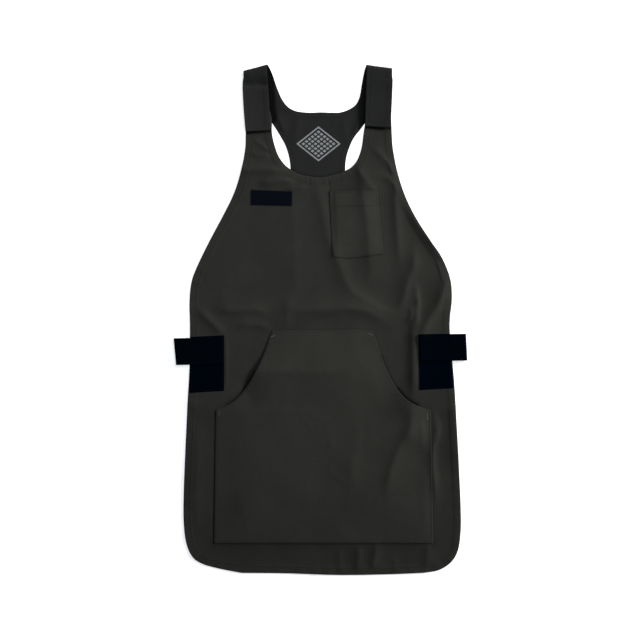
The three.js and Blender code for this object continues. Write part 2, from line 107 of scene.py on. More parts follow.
# What is sewn onto the panel is marked on it first, each outline in turn from its upper left corner.
LEFT_MOUTH = [
    (-91.5, -20), (-97, -32), (-108, -65), (-123.5, -98), (-143.5, -131), (-159.5, -149), (-175, -160.5),
    (-199.5, -171),
]
RIGHT_MOUTH = [
    (210, -172), (183, -162), (164, -151), (147.5, -133), (132, -106), (115, -67), (103.5, -31),
    (99.5, -19),
]
POCKET_STEP = 2.5
left_mouth = smooth_line(LEFT_MOUTH, POCKET_STEP)
right_mouth = smooth_line(RIGHT_MOUTH, POCKET_STEP)
kangaroo_cut = [
    left_mouth,
    smooth_line([LEFT_MOUTH[-1], (-203, -425)], POCKET_STEP),
    smooth_line([(-203, -425), (214.5, -425)], POCKET_STEP),
    smooth_line([(214.5, -425), RIGHT_MOUTH[0]], POCKET_STEP),
    right_mouth,
    smooth_line([RIGHT_MOUTH[-1], LEFT_MOUTH[0]], POCKET_STEP),
]
CHEST_STEP = 2.0
chest_cut = [
    smooth_line([(16.5, 244.5), (23, 119.5)], CHEST_STEP),
    smooth_line([(23, 119.5), (60, 117.5), (119.5, 125)], CHEST_STEP),
    smooth_line([(119.5, 125), (108.5, 246)], CHEST_STEP),
    smooth_line([(108.5, 246), (16.5, 244.5)], CHEST_STEP),
]


def cornered(corners, step):
    """The straight edges between corners, each divided evenly, about step mm apart."""
    return [smooth_line([a, b], step) for a, b in zip(corners, corners[1:] + corners[:1])]


label_cut = cornered([(-131, 247), (-131, 219), (-54.5, 217), (-53.5, 244)], 1.5)
STRAP_ENDS_ON_FRONT = [[(-142, 357), (-95, 360)], [(85, 368), (105, 365.5), (133, 365)]]
MITRE_REACH = 60


def rings(stretches, offsets):
    """Copies of a closed outline moved inwards by the offsets. Each point moves along the normal
    of its stretch; towards a corner the normal turns into the corner's mitre, so that the copies
    of two stretches meet. Returns the rings and how far along the outline each point is."""
    normals = [leftward(points) for points in stretches]
    outline, ways, run, start_run = [], [], [], 0.0
    for k, points in enumerate(stretches):
        before, normal, after = normals[k - 1][-1], normals[k], normals[(k + 1) % len(normals)][0]
        first = (before + normal[0]) / (1 + before @ normal[0])
        last = (normal[-1] + after) / (1 + normal[-1] @ after)
        along = along_line(points)
        reach = min(MITRE_REACH, along[-1] / 2)
        near_first = np.clip(1 - along / reach, 0, 1)[:, None]
        near_last = np.clip(1 - (along[-1] - along) / reach, 0, 1)[:, None]
        way = normal + (first - normal[0]) * near_first + (last - normal[-1]) * near_last
        outline.append(points[:-1])
        ways.append(way[:-1])
        run.append(start_run + along[:-1])
        start_run += along[-1]
    moved = np.asarray(offsets, float)[:, None, None] * np.vstack(ways)
    return np.vstack(outline) + moved, np.concatenate(run)


BLOCK = 1500


def nearest(points, line):
    """Distance from each point to the closest point of a line, and that point's number. The points
    are taken in blocks, so that the table of distances stays small."""
    gaps, numbers = [], []
    for block in np.array_split(points, len(points) // BLOCK + 1):
        square = ((block[:, None] - line[None]) ** 2).sum(2)
        numbers.append(square.argmin(1))
        gaps.append(np.sqrt(square.min(1)))
    return np.concatenate(gaps), np.concatenate(numbers)


def inside(points, ring):
    """A point is inside where a line from it to the right crosses the ring an odd number of times."""
    ax, ay = ring.T
    bx, by = np.roll(ring, -1, 0).T
    within = []
    for block in np.array_split(points, len(points) // BLOCK + 1):
        x, y = block[:, :1], block[:, 1:]
        crossed = (ay > y) != (by > y)
        where = ax + (y - ay) * (bx - ax) / np.where(by == ay, 1, by - ay)
        within.append((crossed & (x < where)).sum(1) % 2 == 1)
    return np.concatenate(within)


def ring_faces(rows, count):
    """Triangles between neighbouring closed rings of count points each, two for every cell."""
    here = np.arange(count)
    ahead = (here + 1) % count
    row = np.arange(rows - 1)[:, None] * count
    first = np.stack([row + here, row + ahead, row + count + ahead], -1).reshape(-1, 3)
    second = np.stack([row + here, row + count + ahead, row + count + here], -1).reshape(-1, 3)
    return np.vstack([first, second])


# Extra points keep this far from the innermost ring, and lattice points this share of their
# spacing from both; the lattice's rows are this share of its spacing apart.
CLEAR_OF_RING, CLEAR_SHARE, ROW_SHARE = 1.2, 0.62, 0.87
NO_POINTS = np.zeros((0, 2))


def hemmed(stretches, offsets, cell, extra=NO_POINTS):
    """A cut of cloth lying flat. Rings follow the outline at the hem's offsets, a lattice of
    points cell mm apart and any extra points fill the middle, and triangles join them all.
    Returns the flat points, their distance from the edge and run along it, triangles, ring size."""
    ring, run = rings(stretches, offsets)
    count, inner = ring.shape[1], ring[-1]
    low, high = inner.min(0), inner.max(0)
    columns, lines = np.arange(low[0], high[0], cell), np.arange(low[1], high[1], ROW_SHARE * cell)
    across, up = np.meshgrid(columns, lines)
    across = across + (np.arange(len(across)) % 2)[:, None] * cell / 2
    lattice = np.stack([across.ravel(), up.ravel()], 1)
    extra = extra[inside(extra, inner) & (nearest(extra, inner)[0] > CLEAR_OF_RING)]
    fixed = np.vstack([inner, extra])
    lattice = lattice[inside(lattice, inner) & (nearest(lattice, fixed)[0] > CLEAR_SHARE * cell)]
    middle = np.vstack([extra, lattice])
    gap, number = nearest(middle, inner)
    corners = list(map(Vector, np.vstack([inner, middle]).tolist()))
    filled = delaunay_2d_cdt(corners, [], [list(range(count))], 1, 1e-6)
    given = np.array([origin[0] for origin in filled[3]])
    web = given[np.array(filled[2])] + (len(offsets) - 1) * count
    flat = np.vstack([ring.reshape(-1, 2), middle])
    depth = np.concatenate([np.repeat(offsets, count), gap + offsets[-1]])
    run = np.concatenate([np.tile(run, len(offsets)), run[number]])
    return flat, depth, run, np.vstack([ring_faces(len(offsets), count), web]), count


def ease(value, low, high):
    """Rises from 0 at low to 1 at high along a smooth cubic step."""
    t = np.clip((value - low) / (high - low), 0, 1)
    return t * t * (3 - 2 * t)


def plateau(value, low, high, run):
    """1 between low and high, easing to 0 over run mm on both sides."""
    return ease(value, low - run, low) * ease(-value, -high - run, -high)


# A fold is looked up at points FOLD_STEP mm apart and reaches FOLD_REACH of its widths. Its crest is
# rounded, and falls off, over these shares of its width, and it swells over this part of its length.
FOLD_STEP, FOLD_REACH = 4.0, 5
CREST_SHARE, FALL_SHARE, FOLD_SWELL = 0.3, 0.75, (-0.12, 0.28)


def folds(x, y, rows):
    """Sum of creases. Each follows a smooth line. Across it the crease falls off exponentially from
    a rounded crest, with its own width on the left and right of the line; along it the crease
    swells from one end and dies away at the other."""
    total = np.zeros_like(x)
    spots = np.column_stack([x, y])
    for height, left, right, points in rows:
        line = smooth_line(points, FOLD_STEP)
        reach = FOLD_REACH * max(left, right)
        close = ((spots > line.min(0) - reach) & (spots < line.max(0) + reach)).all(1)
        here = np.flatnonzero(close)
        number = nearest(spots[here], line)[1]
        rest = spots[here] - line[number]
        way = direction(line)[number]
        along = (number + (rest * way).sum(1) / FOLD_STEP) / (len(line) - 1)
        aside = way[:, 0] * rest[:, 1] - way[:, 1] * rest[:, 0]
        width = np.where(aside > 0, left, right)
        ends = ease(along, *FOLD_SWELL) * ease(1 - along, *FOLD_SWELL)
        crest = CREST_SHARE * width
        total[here] += height * ends * np.exp((crest - np.hypot(aside, crest)) / (FALL_SHARE * width))
    return total


# Each fold: its height, its width to the left and to the right of its line, the line's points.
FRONT_FOLDS = [
    # From the neckline across the bib to the right waist.
    (3.0, 15, 16, [(-12, 262), (4, 212), (15, 159), (33, 117), (57, 79)]),
    (1.2, 14, 20, [(-52, 250), (-50, 190), (-50, 140), (-48, 90), (-46, 40)]),
    (3.8, 10.5, 22, [(26, 121), (40, 92), (56, 60), (80, 40), (108, 24), (135, 12), (158, 8)]),
    # Across the waist, above the left patch and along its inner edge.
    (5.8, 15, 17, [(-57, 16), (19, 20), (61, 22), (95, 14), (129, -7)]),
    (3.9, 15, 9.5, [(-201, 18), (-152, 18), (-121, 20), (-102, 12)]),
    (2.2, 7.6, 7.6, [(-159, -10), (-123, -9), (-95, -16)]),
    (1.0, 9.5, 9.5, [(-61, 41), (-63, 10), (-66, -14)]),
    (3.0, 9.5, 8.5, [(-234, 22), (-215, 3), (-197, -14), (-182, -29)]),
    (1.0, 2.7, 2.7, [(-179, -28), (-179, -77), (-179, -132)]),
    # Right waist, with the deep groove between two ridges.
    (8.5, 11.4, 16, [(238, 84), (234, 58), (224, 28), (209, 4), (197, -18), (189, -42)]),
    (3.6, 2.8, 9.5, [(183, 67), (186, 37), (185, 12), (183, -12)]),
    (1.2, 3.8, 2.5, [(220, 111), (227, 94), (232, 71)]),
    (4.6, 9.5, 14, [(179, 138), (178, 102), (169, 81), (164, 66), (159, 43), (146, 16)]),
    (1.8, 3.8, 5.7, [(173, 26), (172, 10), (167, -5)]),
    (5.6, 20, 9.5, [(178, 4), (176, -16), (176, -58), (176, -105), (175, -149)]),
    # Right shoulder, chest and armhole edge.
    (3.8, 9.5, 10.4, [(88, 265), (105, 272), (122, 272), (134, 264), (142, 248), (143, 214), (146, 166),
                      (150, 109)]),
    (6.2, 44, 20, [(78, 300), (80, 262), (82, 240), (85, 218), (90, 190), (92, 165), (94, 130), (98, 70)]),
    (3.0, 6.6, 9.5, [(97, 328), (114, 315), (127, 299), (137, 282), (143, 267)]),
    (2.6, 5.7, 7.6, [(69, 290), (82, 271), (92, 256), (104, 246)]),
    (4.5, 9.5, 9, [(165, 216), (186, 181), (209, 149), (230, 117)]),
    # Left shoulder and beside the label.
    (6.0, 11.4, 13, [(-170, 284), (-140, 285), (-110, 286), (-83, 284), (-66, 277)]),
    (4.4, 6.6, 8.5, [(-116, 258), (-99, 261), (-76, 264), (-50, 265)]),
    (2.1, 3.8, 4.6, [(-64, 247), (-47, 251), (-28, 254)]),
    (1.8, 4.2, 5.7, [(-127, 343), (-112, 333), (-99, 322)]),
    (2.0, 4.8, 4.8, [(-131, 314), (-114, 313), (-95, 311)]),
    # Skirt: beside the pocket, its right edge, its left edge, ripples along the hem.
    (3.9, 5, 14, [(216, -178), (222, -200), (221, -221), (215, -240), (214, -273), (217, -305),
                  (220, -343)]),
    (3.6, 9.5, 26, [(251, -150), (255, -182), (257, -210), (259, -248), (261, -285)]),
    (1.6, 15, 15, [(-234, -191), (-235, -295), (-237, -400)]),
    (2.0, 9.5, 8.5, [(72, -427), (72, -449), (69, -476)]),
    (2.6, 10.5, 8, [(108, -425), (103, -449), (98, -472)]),
    (1.9, 10.5, 7.6, [(205, -425), (203, -449), (200, -468)]),
    (0.9, 5.7, 5.7, [(141, -449), (141, -465), (143, -480)]),
    (0.8, 5.7, 5.7, [(38, -434), (36, -453), (38, -476)]),
    # Centre crease from the neckline to the chest pocket.
    (-0.7, 1.7, 1.7, [(15, 272), (16, 257), (17, 242)]),
]

# The neckline's hem is gathered a little: short pinched ticks hang from its edge.
GATHER_SPACING, GATHER_WIDTH = 8.6, 1.8
neck_x, neck_y = np.array(NECKLINE[::-1]).T
for k, x in enumerate(np.arange(-30, 66, GATHER_SPACING)):
    y = np.interp(x, neck_x, neck_y)
    tick = [(x, y - 2), (x + np.sin(3 * k), y - 13 - 4 * np.sin(1.7 * k))]
    FRONT_FOLDS.append((-0.4 - 0.2 * np.sin(2.3 * k), GATHER_WIDTH, GATHER_WIDTH, tick))

# Small creases of handling lie all over the panel.
SMALL_CREASES = 46
chance = np.random.default_rng(5)
for k in range(SMALL_CREASES):
    spot = chance.uniform((-235, -470), (240, 270))
    turn = chance.uniform(0, np.pi)
    half = chance.uniform(10, 34) * np.array([np.cos(turn), np.sin(turn)])
    bow = chance.uniform(-0.2, 0.2) * np.array([-half[1], half[0]])
    left, right = chance.uniform(5, 11, 2)
    FRONT_FOLDS.append((chance.uniform(0.15, 0.5), left, right, [spot - half, spot + bow, spot + half]))

# Rows of the turned hem from the edge inwards: offset, top and underside above the bed, wear; wear below
# zero is painted shade, which dims the rim where the lamp catches it and darkens the stitch line.
FRONT_HEM = np.array([
    (0.0, 0.75, 0.75, -0.1), (0.3, 1.15, 0.38, 0.0), (0.9, 1.38, 0.1, 0.05), (2.0, 1.48, 0.0, 0.05),
    (5.0, 1.5, 0.0, 0.0), (9.0, 1.5, 0.0, 0.0), (11.6, 1.47, 0.0, 0.0), (12.4, 1.38, 0.0, -0.12),
    (13.2, 1.45, 0.0, 0.0), (14.4, 1.38, 0.0, 0.0), (15.6, 1.28, 0.0, 0.0), (17.0, 1.2, 0.0, 0.0),
    (18.4, 1.2, 0.0, 0.0),
])
FRONT_STITCH_ROW, PAST_EDGE = 7, 3
SEAM_ROWS = (-3.6, -1.3, 0.4, 2.4)
# Folds narrower than FINE_FOLD get their own lines of points, at these shares of their width.
FINE_FOLD, FINE_STEP, FRONT_CELL = 6.0, 2.5, 4.5
FINE_NEAR, FINE_FAR = 0.7, 1.6
marks = [rings(cut, SEAM_ROWS)[0].reshape(-1, 2) for cut in (kangaroo_cut, chest_cut, label_cut)]
for height, left, right, points in FRONT_FOLDS:
    if min(left, right) < FINE_FOLD:
        line = smooth_line(points, FINE_STEP)
        for aside in (-FINE_FAR * right, -FINE_NEAR * right, 0.0, FINE_NEAR * left, FINE_FAR * left):
            marks.append(line + aside * leftward(line))
front_flat, front_depth, front_run, front_web, front_count = hemmed(
    front_cut, FRONT_HEM[:, 0], FRONT_CELL, np.vstack(marks))
# What lies under the panel raises it: the yoke and its back strap, and the waist strap. Each band
# below is given by its two ends, or by its two ends and the run over which it eases off.
YOKE_UNDER, STRAP_UNDER, HEM_DROP, UNEVEN = 2.4, 1.9, 2.2, 0.35
BACK_STRAP_X, BACK_STRAP_END, YOKE_END = (-60, 50, 80), (-240, -95), (205, 255)
WAIST_STRAP_Y, PATCH_Y, PATCH_INNER_X = (-94, -16, 75), (-162, -4, 36), (120, 165)
HEM_DROP_X, HEM_DROP_Y, HEM_DROP_END = (-150, 165, 90), (-468, -424), (150, 330)


def front_bed(x, y):
    """Underside of the front panel: the surface, raised over the yoke and its back strap and over
    the waist strap, falling to the hem below the pocket, plus the folds and a slow unevenness of
    crossed sine waves."""
    over_strap = plateau(x, *BACK_STRAP_X) * ease(y, *BACK_STRAP_END)
    over_yoke = ease(y, *YOKE_END)
    over_waist = plateau(y, *WAIST_STRAP_Y)
    over_sides = plateau(y, *PATCH_Y) * ease(np.abs(x), *PATCH_INNER_X)
    bed = YOKE_UNDER * np.maximum(over_strap, over_yoke) + STRAP_UNDER * np.maximum(over_waist, over_sides)
    bed = bed + HEM_DROP * plateau(x, *HEM_DROP_X) * ease(y, *HEM_DROP_Y) * ease(-y, *HEM_DROP_END)
    waves = np.sin(x / 27 + 1.4 * np.sin(y / 61)) * np.sin(y / 36 + 1.2 * np.sin(x / 49))
    waves = waves + 0.6 * np.sin(x / 58 - y / 73 + 2.1)
    return bed + folds(x, y, FRONT_FOLDS) + UNEVEN * (waves + 1.6)


def front_top(x, y):
    """Upper side of the front panel away from its hems."""
    return front_bed(x, y) + CANVAS


PUCKER, PUCKER_REACH = 0.3, 16


def pucker(run, depth):
    """How far the sewn hem stands off the bed: a bent sine wave along the edge that comes and goes
    with a longer one, and dies away inwards as a bell."""
    wave = np.sin(run / 5.2 + 1.7 * np.sin(run / 31)) * np.sin(run / 83)
    return PUCKER * (wave + 1) * np.exp(-(depth / PUCKER_REACH) ** 2)


def hem_top(flat):
    """Upper side of the front panel where something lies on its hem: the bed, the hem's thickness
    at that distance from the edge, and its pucker."""
    gap, number = nearest(flat, front_flat[:front_count])
    thickness = np.interp(gap, *FRONT_HEM[PAST_EDGE:, :2].T)
    return front_bed(*flat.T) + thickness + pucker(front_run[number], gap)


def hem_rows(depth, hem):
    """A hem table's top, underside and wear, with its painted shade, at each distance from the edge."""
    return [np.interp(depth, hem[:, 0], hem[:, k]) for k in (1, 2, 3)]


def two_faces(flat, depth, hem, lie):
    """Upper and lower face of a cut: its bed plus the hem's top or underside; and its wear with painted
    shade.
    """
    top, under, wear = hem_rows(depth, hem)
    return np.column_stack([flat, lie + top]), np.column_stack([flat, lie + under]), wear


front_lie = front_bed(*front_flat.T) + pucker(front_run, front_depth)
front_upper, front_lower, front_wear_and_shade = two_faces(front_flat, front_depth, FRONT_HEM, front_lie)
# Painted shade: the panel's colour is darkened where shade falls, along the seams of what is sewn on,
# below the pocket's bottom seam, in the gaping mouths and under the strap ends. Each row: its line, how
# dark its painted shade is and how far it reaches.
CREVICE_STEP = 2.0
front_painted_shade_lines = [(np.vstack(cut), 0.32, 1.6) for cut in (kangaroo_cut, chest_cut, label_cut)]
front_painted_shade_lines += [(smooth_line(end, CREVICE_STEP), 1.0, 4.4) for end in STRAP_ENDS_ON_FRONT]
front_painted_shade_lines += [
    (kangaroo_cut[2], 0.24, 11.0),
    (smooth_line(LEFT_MOUTH[3:7], CREVICE_STEP), 0.6, 4.6),
    (smooth_line(RIGHT_MOUTH[1:4], CREVICE_STEP), 1.0, 4.6),
    (smooth_line(RIGHT_MOUTH[3:6], CREVICE_STEP), 0.6, 2.4),
]
for line, strength, reach in front_painted_shade_lines:
    gap = nearest(front_flat, line)[0]
    front_wear_and_shade = front_wear_and_shade - strength * np.exp(-(gap / reach) ** 2)


def linear(colour):
    """An sRGB hex colour as linear red, green, blue and full opacity."""
    parts = np.array([int(colour[k:k + 2], 16) for k in (1, 3, 5)]) / 255
    light = np.where(parts <= 0.04045, parts / 12.92, ((parts + 0.055) / 1.055) ** 2.4)
    return (*light.tolist(), 1.0)


def feed(node, links):
    """Gives each named or numbered input of a node either a value or the output that feeds it."""
    for socket, value in links.items():
        if isinstance(value, bpy.types.NodeSocket):
            node.id_data.links.new(value, node.inputs[socket])
        else:
            node.inputs[socket].default_value = value


def add(tree, kind, links, out=0, **settings):
    """Adds one shader node. Settings are its properties, and links feeds its inputs. Returns the
    output that is named or numbered by out."""
    made = tree.nodes.new(kind)
    for name, value in settings.items():
        setattr(made, name, value)
    feed(made, links)
    return made.outputs[out]


def new_finish(name):
    """A new material, its node tree and the shader that the finish ends in."""
    finish = bpy.data.materials.new(name)
    finish.use_nodes = True
    return finish, finish.node_tree, finish.node_tree.nodes["Principled BSDF"]


# The numbers of the colour inputs and of the colour output of a node that mixes two colours.
FIRST, SECOND, MIXED = 6, 7, 2

# Cotton canvas, plain woven, dyed and washed: matt, a little hairy, streaked where threads are thick and
# paler where edges are rubbed. Painted shade from the edge attribute darkens it towards near black in
# seams, gaps and folds, under the strap ends and along some hem rims and stitch lines. The real threads
# are 0.6 mm apart; they are drawn 1.6 mm apart so that the weave shows.
THREAD_SPACING = 1.6 * MM
STREAK_LENGTH, STREAK_WIDTH = 22 * MM, 1.3 * MM
CLOUD = 55 * MM
# The rubbed colour, and the near black that painted shade mixes the canvas towards.
CANVAS_WORN, CANVAS_PAINTED_SHADE = "#454642", "#040404"


def cotton_canvas(name, dark, light, printed=None):
    """Canvas material on the cut's own flat coordinates. The weave is the product of two sines,
    one across the warp and one across the weft; printed, if given, adds the print's share."""
    finish, tree, shader = new_finish(name)
    cut = add(tree, "ShaderNodeUVMap", {}, uv_map="cut")
    turns = add(tree, "ShaderNodeVectorMath", {0: cut, 1: (2 * np.pi / THREAD_SPACING,) * 3},
                operation="MULTIPLY")
    crests = add(tree, "ShaderNodeVectorMath", {0: turns}, operation="SINE")
    split = add(tree, "ShaderNodeSeparateXYZ", {0: crests}).node
    weave = add(tree, "ShaderNodeMath", {0: split.outputs[0], 1: split.outputs[1]}, operation="MULTIPLY")
    threads = []
    for size_x, size_y in ((STREAK_WIDTH, STREAK_LENGTH), (STREAK_LENGTH, STREAK_WIDTH)):
        place = add(tree, "ShaderNodeMapping", {0: cut, "Scale": (1 / size_x, 1 / size_y, 1)})
        threads.append(add(tree, "ShaderNodeTexNoise", {"Vector": place, "Scale": 1.0, "Detail": 2.0}))
    streaks = add(tree, "ShaderNodeMath", {0: threads[0], 1: threads[1]}, operation="ADD")
    cloud = add(tree, "ShaderNodeTexNoise", {"Vector": cut, "Scale": 1 / CLOUD, "Detail": 4.0})
    mottle = add(tree, "ShaderNodeMath", {0: streaks, 1: 0.55, 2: -0.55}, operation="MULTIPLY_ADD")
    mottle = add(tree, "ShaderNodeMath", {0: cloud, 1: mottle}, operation="ADD")
    mottle = add(tree, "ShaderNodeMath", {0: weave, 1: 0.16, 2: mottle}, operation="MULTIPLY_ADD",
                 use_clamp=True)
    # The edge attribute is real rubbing above zero and painted shade below zero; deep is the painted
    # shade's share.
    edge = add(tree, "ShaderNodeAttribute", {}, "Fac", attribute_name="edge")
    rub = add(tree, "ShaderNodeMath", {0: edge, 1: streaks}, operation="MULTIPLY", use_clamp=True)
    deep = add(tree, "ShaderNodeMath", {0: edge, 1: -1.0}, operation="MULTIPLY", use_clamp=True)
    layers = [(mottle, linear(light)), (rub, linear(CANVAS_WORN)), (deep, linear(CANVAS_PAINTED_SHADE))]
    if printed:
        layers.append(printed(tree, cut, streaks))
    colour = linear(dark)
    for share, shade in layers:
        colour = add(tree, "ShaderNodeMix", {"Factor": share, FIRST: colour, SECOND: shade}, MIXED,
                     data_type="RGBA")
    rough = add(tree, "ShaderNodeMath", {0: streaks, 1: 0.1, 2: 0.8}, operation="MULTIPLY_ADD")
    relief = add(tree, "ShaderNodeMath", {0: weave, 1: 0.5, 2: streaks}, operation="MULTIPLY_ADD")
    bump = add(tree, "ShaderNodeBump", {"Strength": 0.55, "Distance": 0.3 * MM, "Height": relief})
    feed(shader, {"Base Color": colour, "Roughness": rough, "Normal": bump, "Specular IOR Level": 0.06,
                  "Sheen Weight": 0.02, "Sheen Roughness": 0.5})
    return finish


canvas_finish = cotton_canvas("washed_cotton_canvas", "#242522", "#2c2d29")


def put_mesh(name, points, triangles, finish, slot, cut=None, edge=None):
    """Puts points in mm and triangles into a smooth mesh at the origin that rides on the part.
    cut is each point's place on the flat cloth and edge its wear and painted shade, for the material."""
    shape = bpy.data.meshes.new(name)
    shape.vertices.add(len(points))
    shape.vertices.foreach_set("co", (points * MM).astype(np.float32).ravel())
    shape.loops.add(triangles.size)
    shape.loops.foreach_set("vertex_index", triangles.astype(np.int32).ravel())
    shape.polygons.add(len(triangles))
    shape.polygons.foreach_set("loop_start", np.arange(0, triangles.size, 3, dtype=np.int32))
    shape.polygons.foreach_set("use_smooth", np.ones(len(triangles), bool))
    shape.update(calc_edges=True)
    if cut is not None:
        layer = shape.uv_layers.new(name="cut")
        layer.data.foreach_set("uv", (cut[triangles.ravel()] * MM).astype(np.float32).ravel())
    if edge is not None:
        wear = shape.attributes.new("edge", "FLOAT", "POINT")
        wear.data.foreach_set("value", edge.astype(np.float32))
    shape.materials.append(finish)
    piece = bpy.data.objects.new(name, shape)
    bpy.context.scene.collection.objects.link(piece)
    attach(piece, "root")
    return piece


def put_sheet(name, upper, lower, triangles, rim, finish, slot, cut, edge):
    """A closed sheet of cloth: its upper and lower faces share the first rim points, which are the
    edge, and the lower face's triangles are turned round."""
    points = np.vstack([upper, lower[rim:]])
    under = np.where(triangles < rim, triangles, triangles + len(upper) - rim)
    both = np.vstack([triangles, under[:, ::-1]])
    places = np.vstack([cut, cut[rim:]])
    wear = np.concatenate([edge, edge[rim:]])
    return put_mesh(name, points, both, finish, slot, places, wear)


front_panel = put_sheet("front_panel_canvas", front_upper, front_lower, front_web, front_count,
                        canvas_finish, "canvas", front_flat, front_wear_and_shade)
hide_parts("front_panel")


# The four rings of a stitch: their place, rise and girth, in half stitch lengths and in threads.
RING_PLACE, RING_RISE, RING_GIRTH = np.array(
    [(-1, -0.55, 0.55, 1), (-0.4, 0.45, 0.45, -0.4), (0.35, 1, 1, 0.35)])
RING_SIDES = 5


def thread_run(path, up, pitch=3.8, length=3.0, thick=0.34):
    """Lockstitches along a path. Each is a spindle of four five-sided rings on its own short
    stretch of the path: thin and sunk at its ends, full and proud of the cloth in between."""
    along = along_line(path)
    middle = np.arange(pitch / 2, along[-1] - pitch / 2, pitch)
    at = middle[:, None] + RING_PLACE * length / 2
    spine = np.stack([np.interp(at, along, path[:, k]) for k in range(3)], -1)
    lift = np.stack([np.interp(at, along, up[:, k]) for k in range(3)], -1)
    side = np.cross(lift, spine[:, -1:] - spine[:, :1])
    side = side / np.linalg.norm(side, axis=-1, keepdims=True)
    spine = spine + lift * (thick * RING_RISE)[:, None]
    turn = (np.arange(RING_SIDES) * 2 * np.pi / RING_SIDES)[:, None]
    round_it = np.cos(turn) * side[:, :, None] + np.sin(turn) * lift[:, :, None]
    points = spine[:, :, None] + (thick * RING_GIRTH)[:, None, None] * round_it
    caps = np.array([(0, 2, 1), (0, 3, 2), (0, 4, 3), (15, 16, 17), (15, 17, 18), (15, 18, 19)])
    one = np.vstack([ring_faces(len(RING_PLACE), RING_SIDES), caps])
    first = np.arange(len(middle))[:, None, None] * len(RING_PLACE) * RING_SIDES
    return points.reshape(-1, 3), (first + one).reshape(-1, 3)


def upright(path):
    """A path, with straight up as the way out of the cloth at each of its points."""
    return path, np.tile((0.0, 0.0, 1.0), (len(path), 1))


def ring_path(face, count, row):
    """One ring of a face as a closed path, with straight up as the way out of the cloth."""
    path = face[row * count:(row + 1) * count]
    return upright(np.vstack([path, path[:1]]))


# Polyester sewing thread, twisted: a shade off the cloth, with a faint gloss along each stitch.
THREAD_TWIST = 0.7 * MM
# The scale at which a wave texture has one band in each unit of length.
BANDS_IN_ONE = np.pi / 10


def sewing_thread(name, dark, light):
    """Thread material: bands of the twist on Object coordinates run between two shades."""
    finish, tree, shader = new_finish(name)
    place = add(tree, "ShaderNodeTexCoord", {}, "Object")
    bands = add(tree, "ShaderNodeTexWave",
                {"Vector": place, "Scale": BANDS_IN_ONE / THREAD_TWIST, "Distortion": 2.0}, "Fac",
                bands_direction="DIAGONAL")
    colour = add(tree, "ShaderNodeMix", {"Factor": bands, FIRST: linear(dark), SECOND: linear(light)},
                 MIXED, data_type="RGBA")
    bump = add(tree, "ShaderNodeBump", {"Strength": 0.4, "Distance": 0.1 * MM, "Height": bands})
    feed(shader, {"Base Color": colour, "Normal": bump, "Roughness": 0.55, "Specular IOR Level": 0.05})
    return finish


dark_thread = sewing_thread("dark_polyester_thread", "#151515", "#2a2927")
front_stitches = put_mesh(
    "front_panel_stitches", *thread_run(*ring_path(front_upper, front_count, FRONT_STITCH_ROW)),
    dark_thread, "canvas")

# Kangaroo pocket: one large patch of the same canvas, turned under all round and stitched to the
# panel along its top, sides and bottom. The two curved mouths are hemmed and left open, and bar
# tacks hold their four corners.
# Rows of the pockets' hem: offset, top and underside, and wear; wear below zero is painted shade, which
# dims the rim where the lamp catches it and darkens the stitch groove.
POCKET_HEM = np.array([
    (0.0, 0.3, 0.3, -0.3), (0.3, 0.55, 0.1, -0.2), (0.8, 0.8, 0.02, -0.1), (1.6, 0.98, 0.0, 0.1),
    (2.6, 0.92, 0.0, -0.1), (3.6, 1.04, 0.0, 0.0), (6.0, 1.12, 0.0, 0.0), (9.0, 1.17, 0.0, 0.0),
    (12.0, 1.2, 0.0, 0.0), (15.0, 1.2, 0.0, 0.0),
])
POCKET_STITCH_ROW = 4
SEWN_GAP = 0.15
# The pocket stands off the panel inside a box: its left, right, bottom and top, how high the pocket
# stands there, and how far in it eases off.
KANGAROO_BOX, KANGAROO_PUFF = (-201, 212, -425, -20), 3.0
KANGAROO_EASE, SEWN_EASE, MOUTH_EASE = 90, 22, 45
# Each mouth from its top corner: how high it gapes, and how far down it is highest.
GAPES = [(left_mouth, 4.6, 0.45), (right_mouth[::-1], 5.0, 0.7)]
GAPE_REACH, GAPE_SPREAD = 31, 0.19
KANGAROO_FOLDS = [
    # From the right mouth down, and along the right seam.
    (4.2, 28, 22, [(186, -104), (179, -140), (174, -175), (172, -208), (166, -240)]),
    (4.0, 20, 13, [(175, -180), (171, -206), (157, -229), (147, -248), (140, -267), (133, -286),
                   (129, -305), (124, -330)]),
    (1.0, 7.6, 5.7, [(190, -187), (194, -221), (197, -254)]),
    (1.0, 7.6, 9.5, [(198, -286), (200, -343), (202, -409)]),
    # Over the waist strap and below it, and three soft upright ones.
    (1.9, 22, 12, [(-150, -98), (-66, -98), (10, -99), (60, -98)]),
    (-0.5, 1.6, 1.6, [(6, -97), (6, -115)]),
    (1.3, 26, 19, [(74, -190), (66, -245), (59, -285), (55, -350)]),
    (-0.5, 11, 11, [(82, -180), (82, -225), (80, -270)]),
    (0.5, 20, 20, [(-158, -300), (-144, -370), (-130, -430)]),
    (0.4, 5.7, 7.6, [(-133, -176), (-57, -174), (19, -175)]),
]


def raised(x, y, box, run):
    """1 inside a box, easing to 0 at its left, right, bottom and top over run mm inwards."""
    left, right, bottom, top = box
    in_x = ease(x - left, 0, run) * ease(right - x, 0, run)
    return in_x * ease(y - bottom, 0, run) * ease(top - y, 0, run)


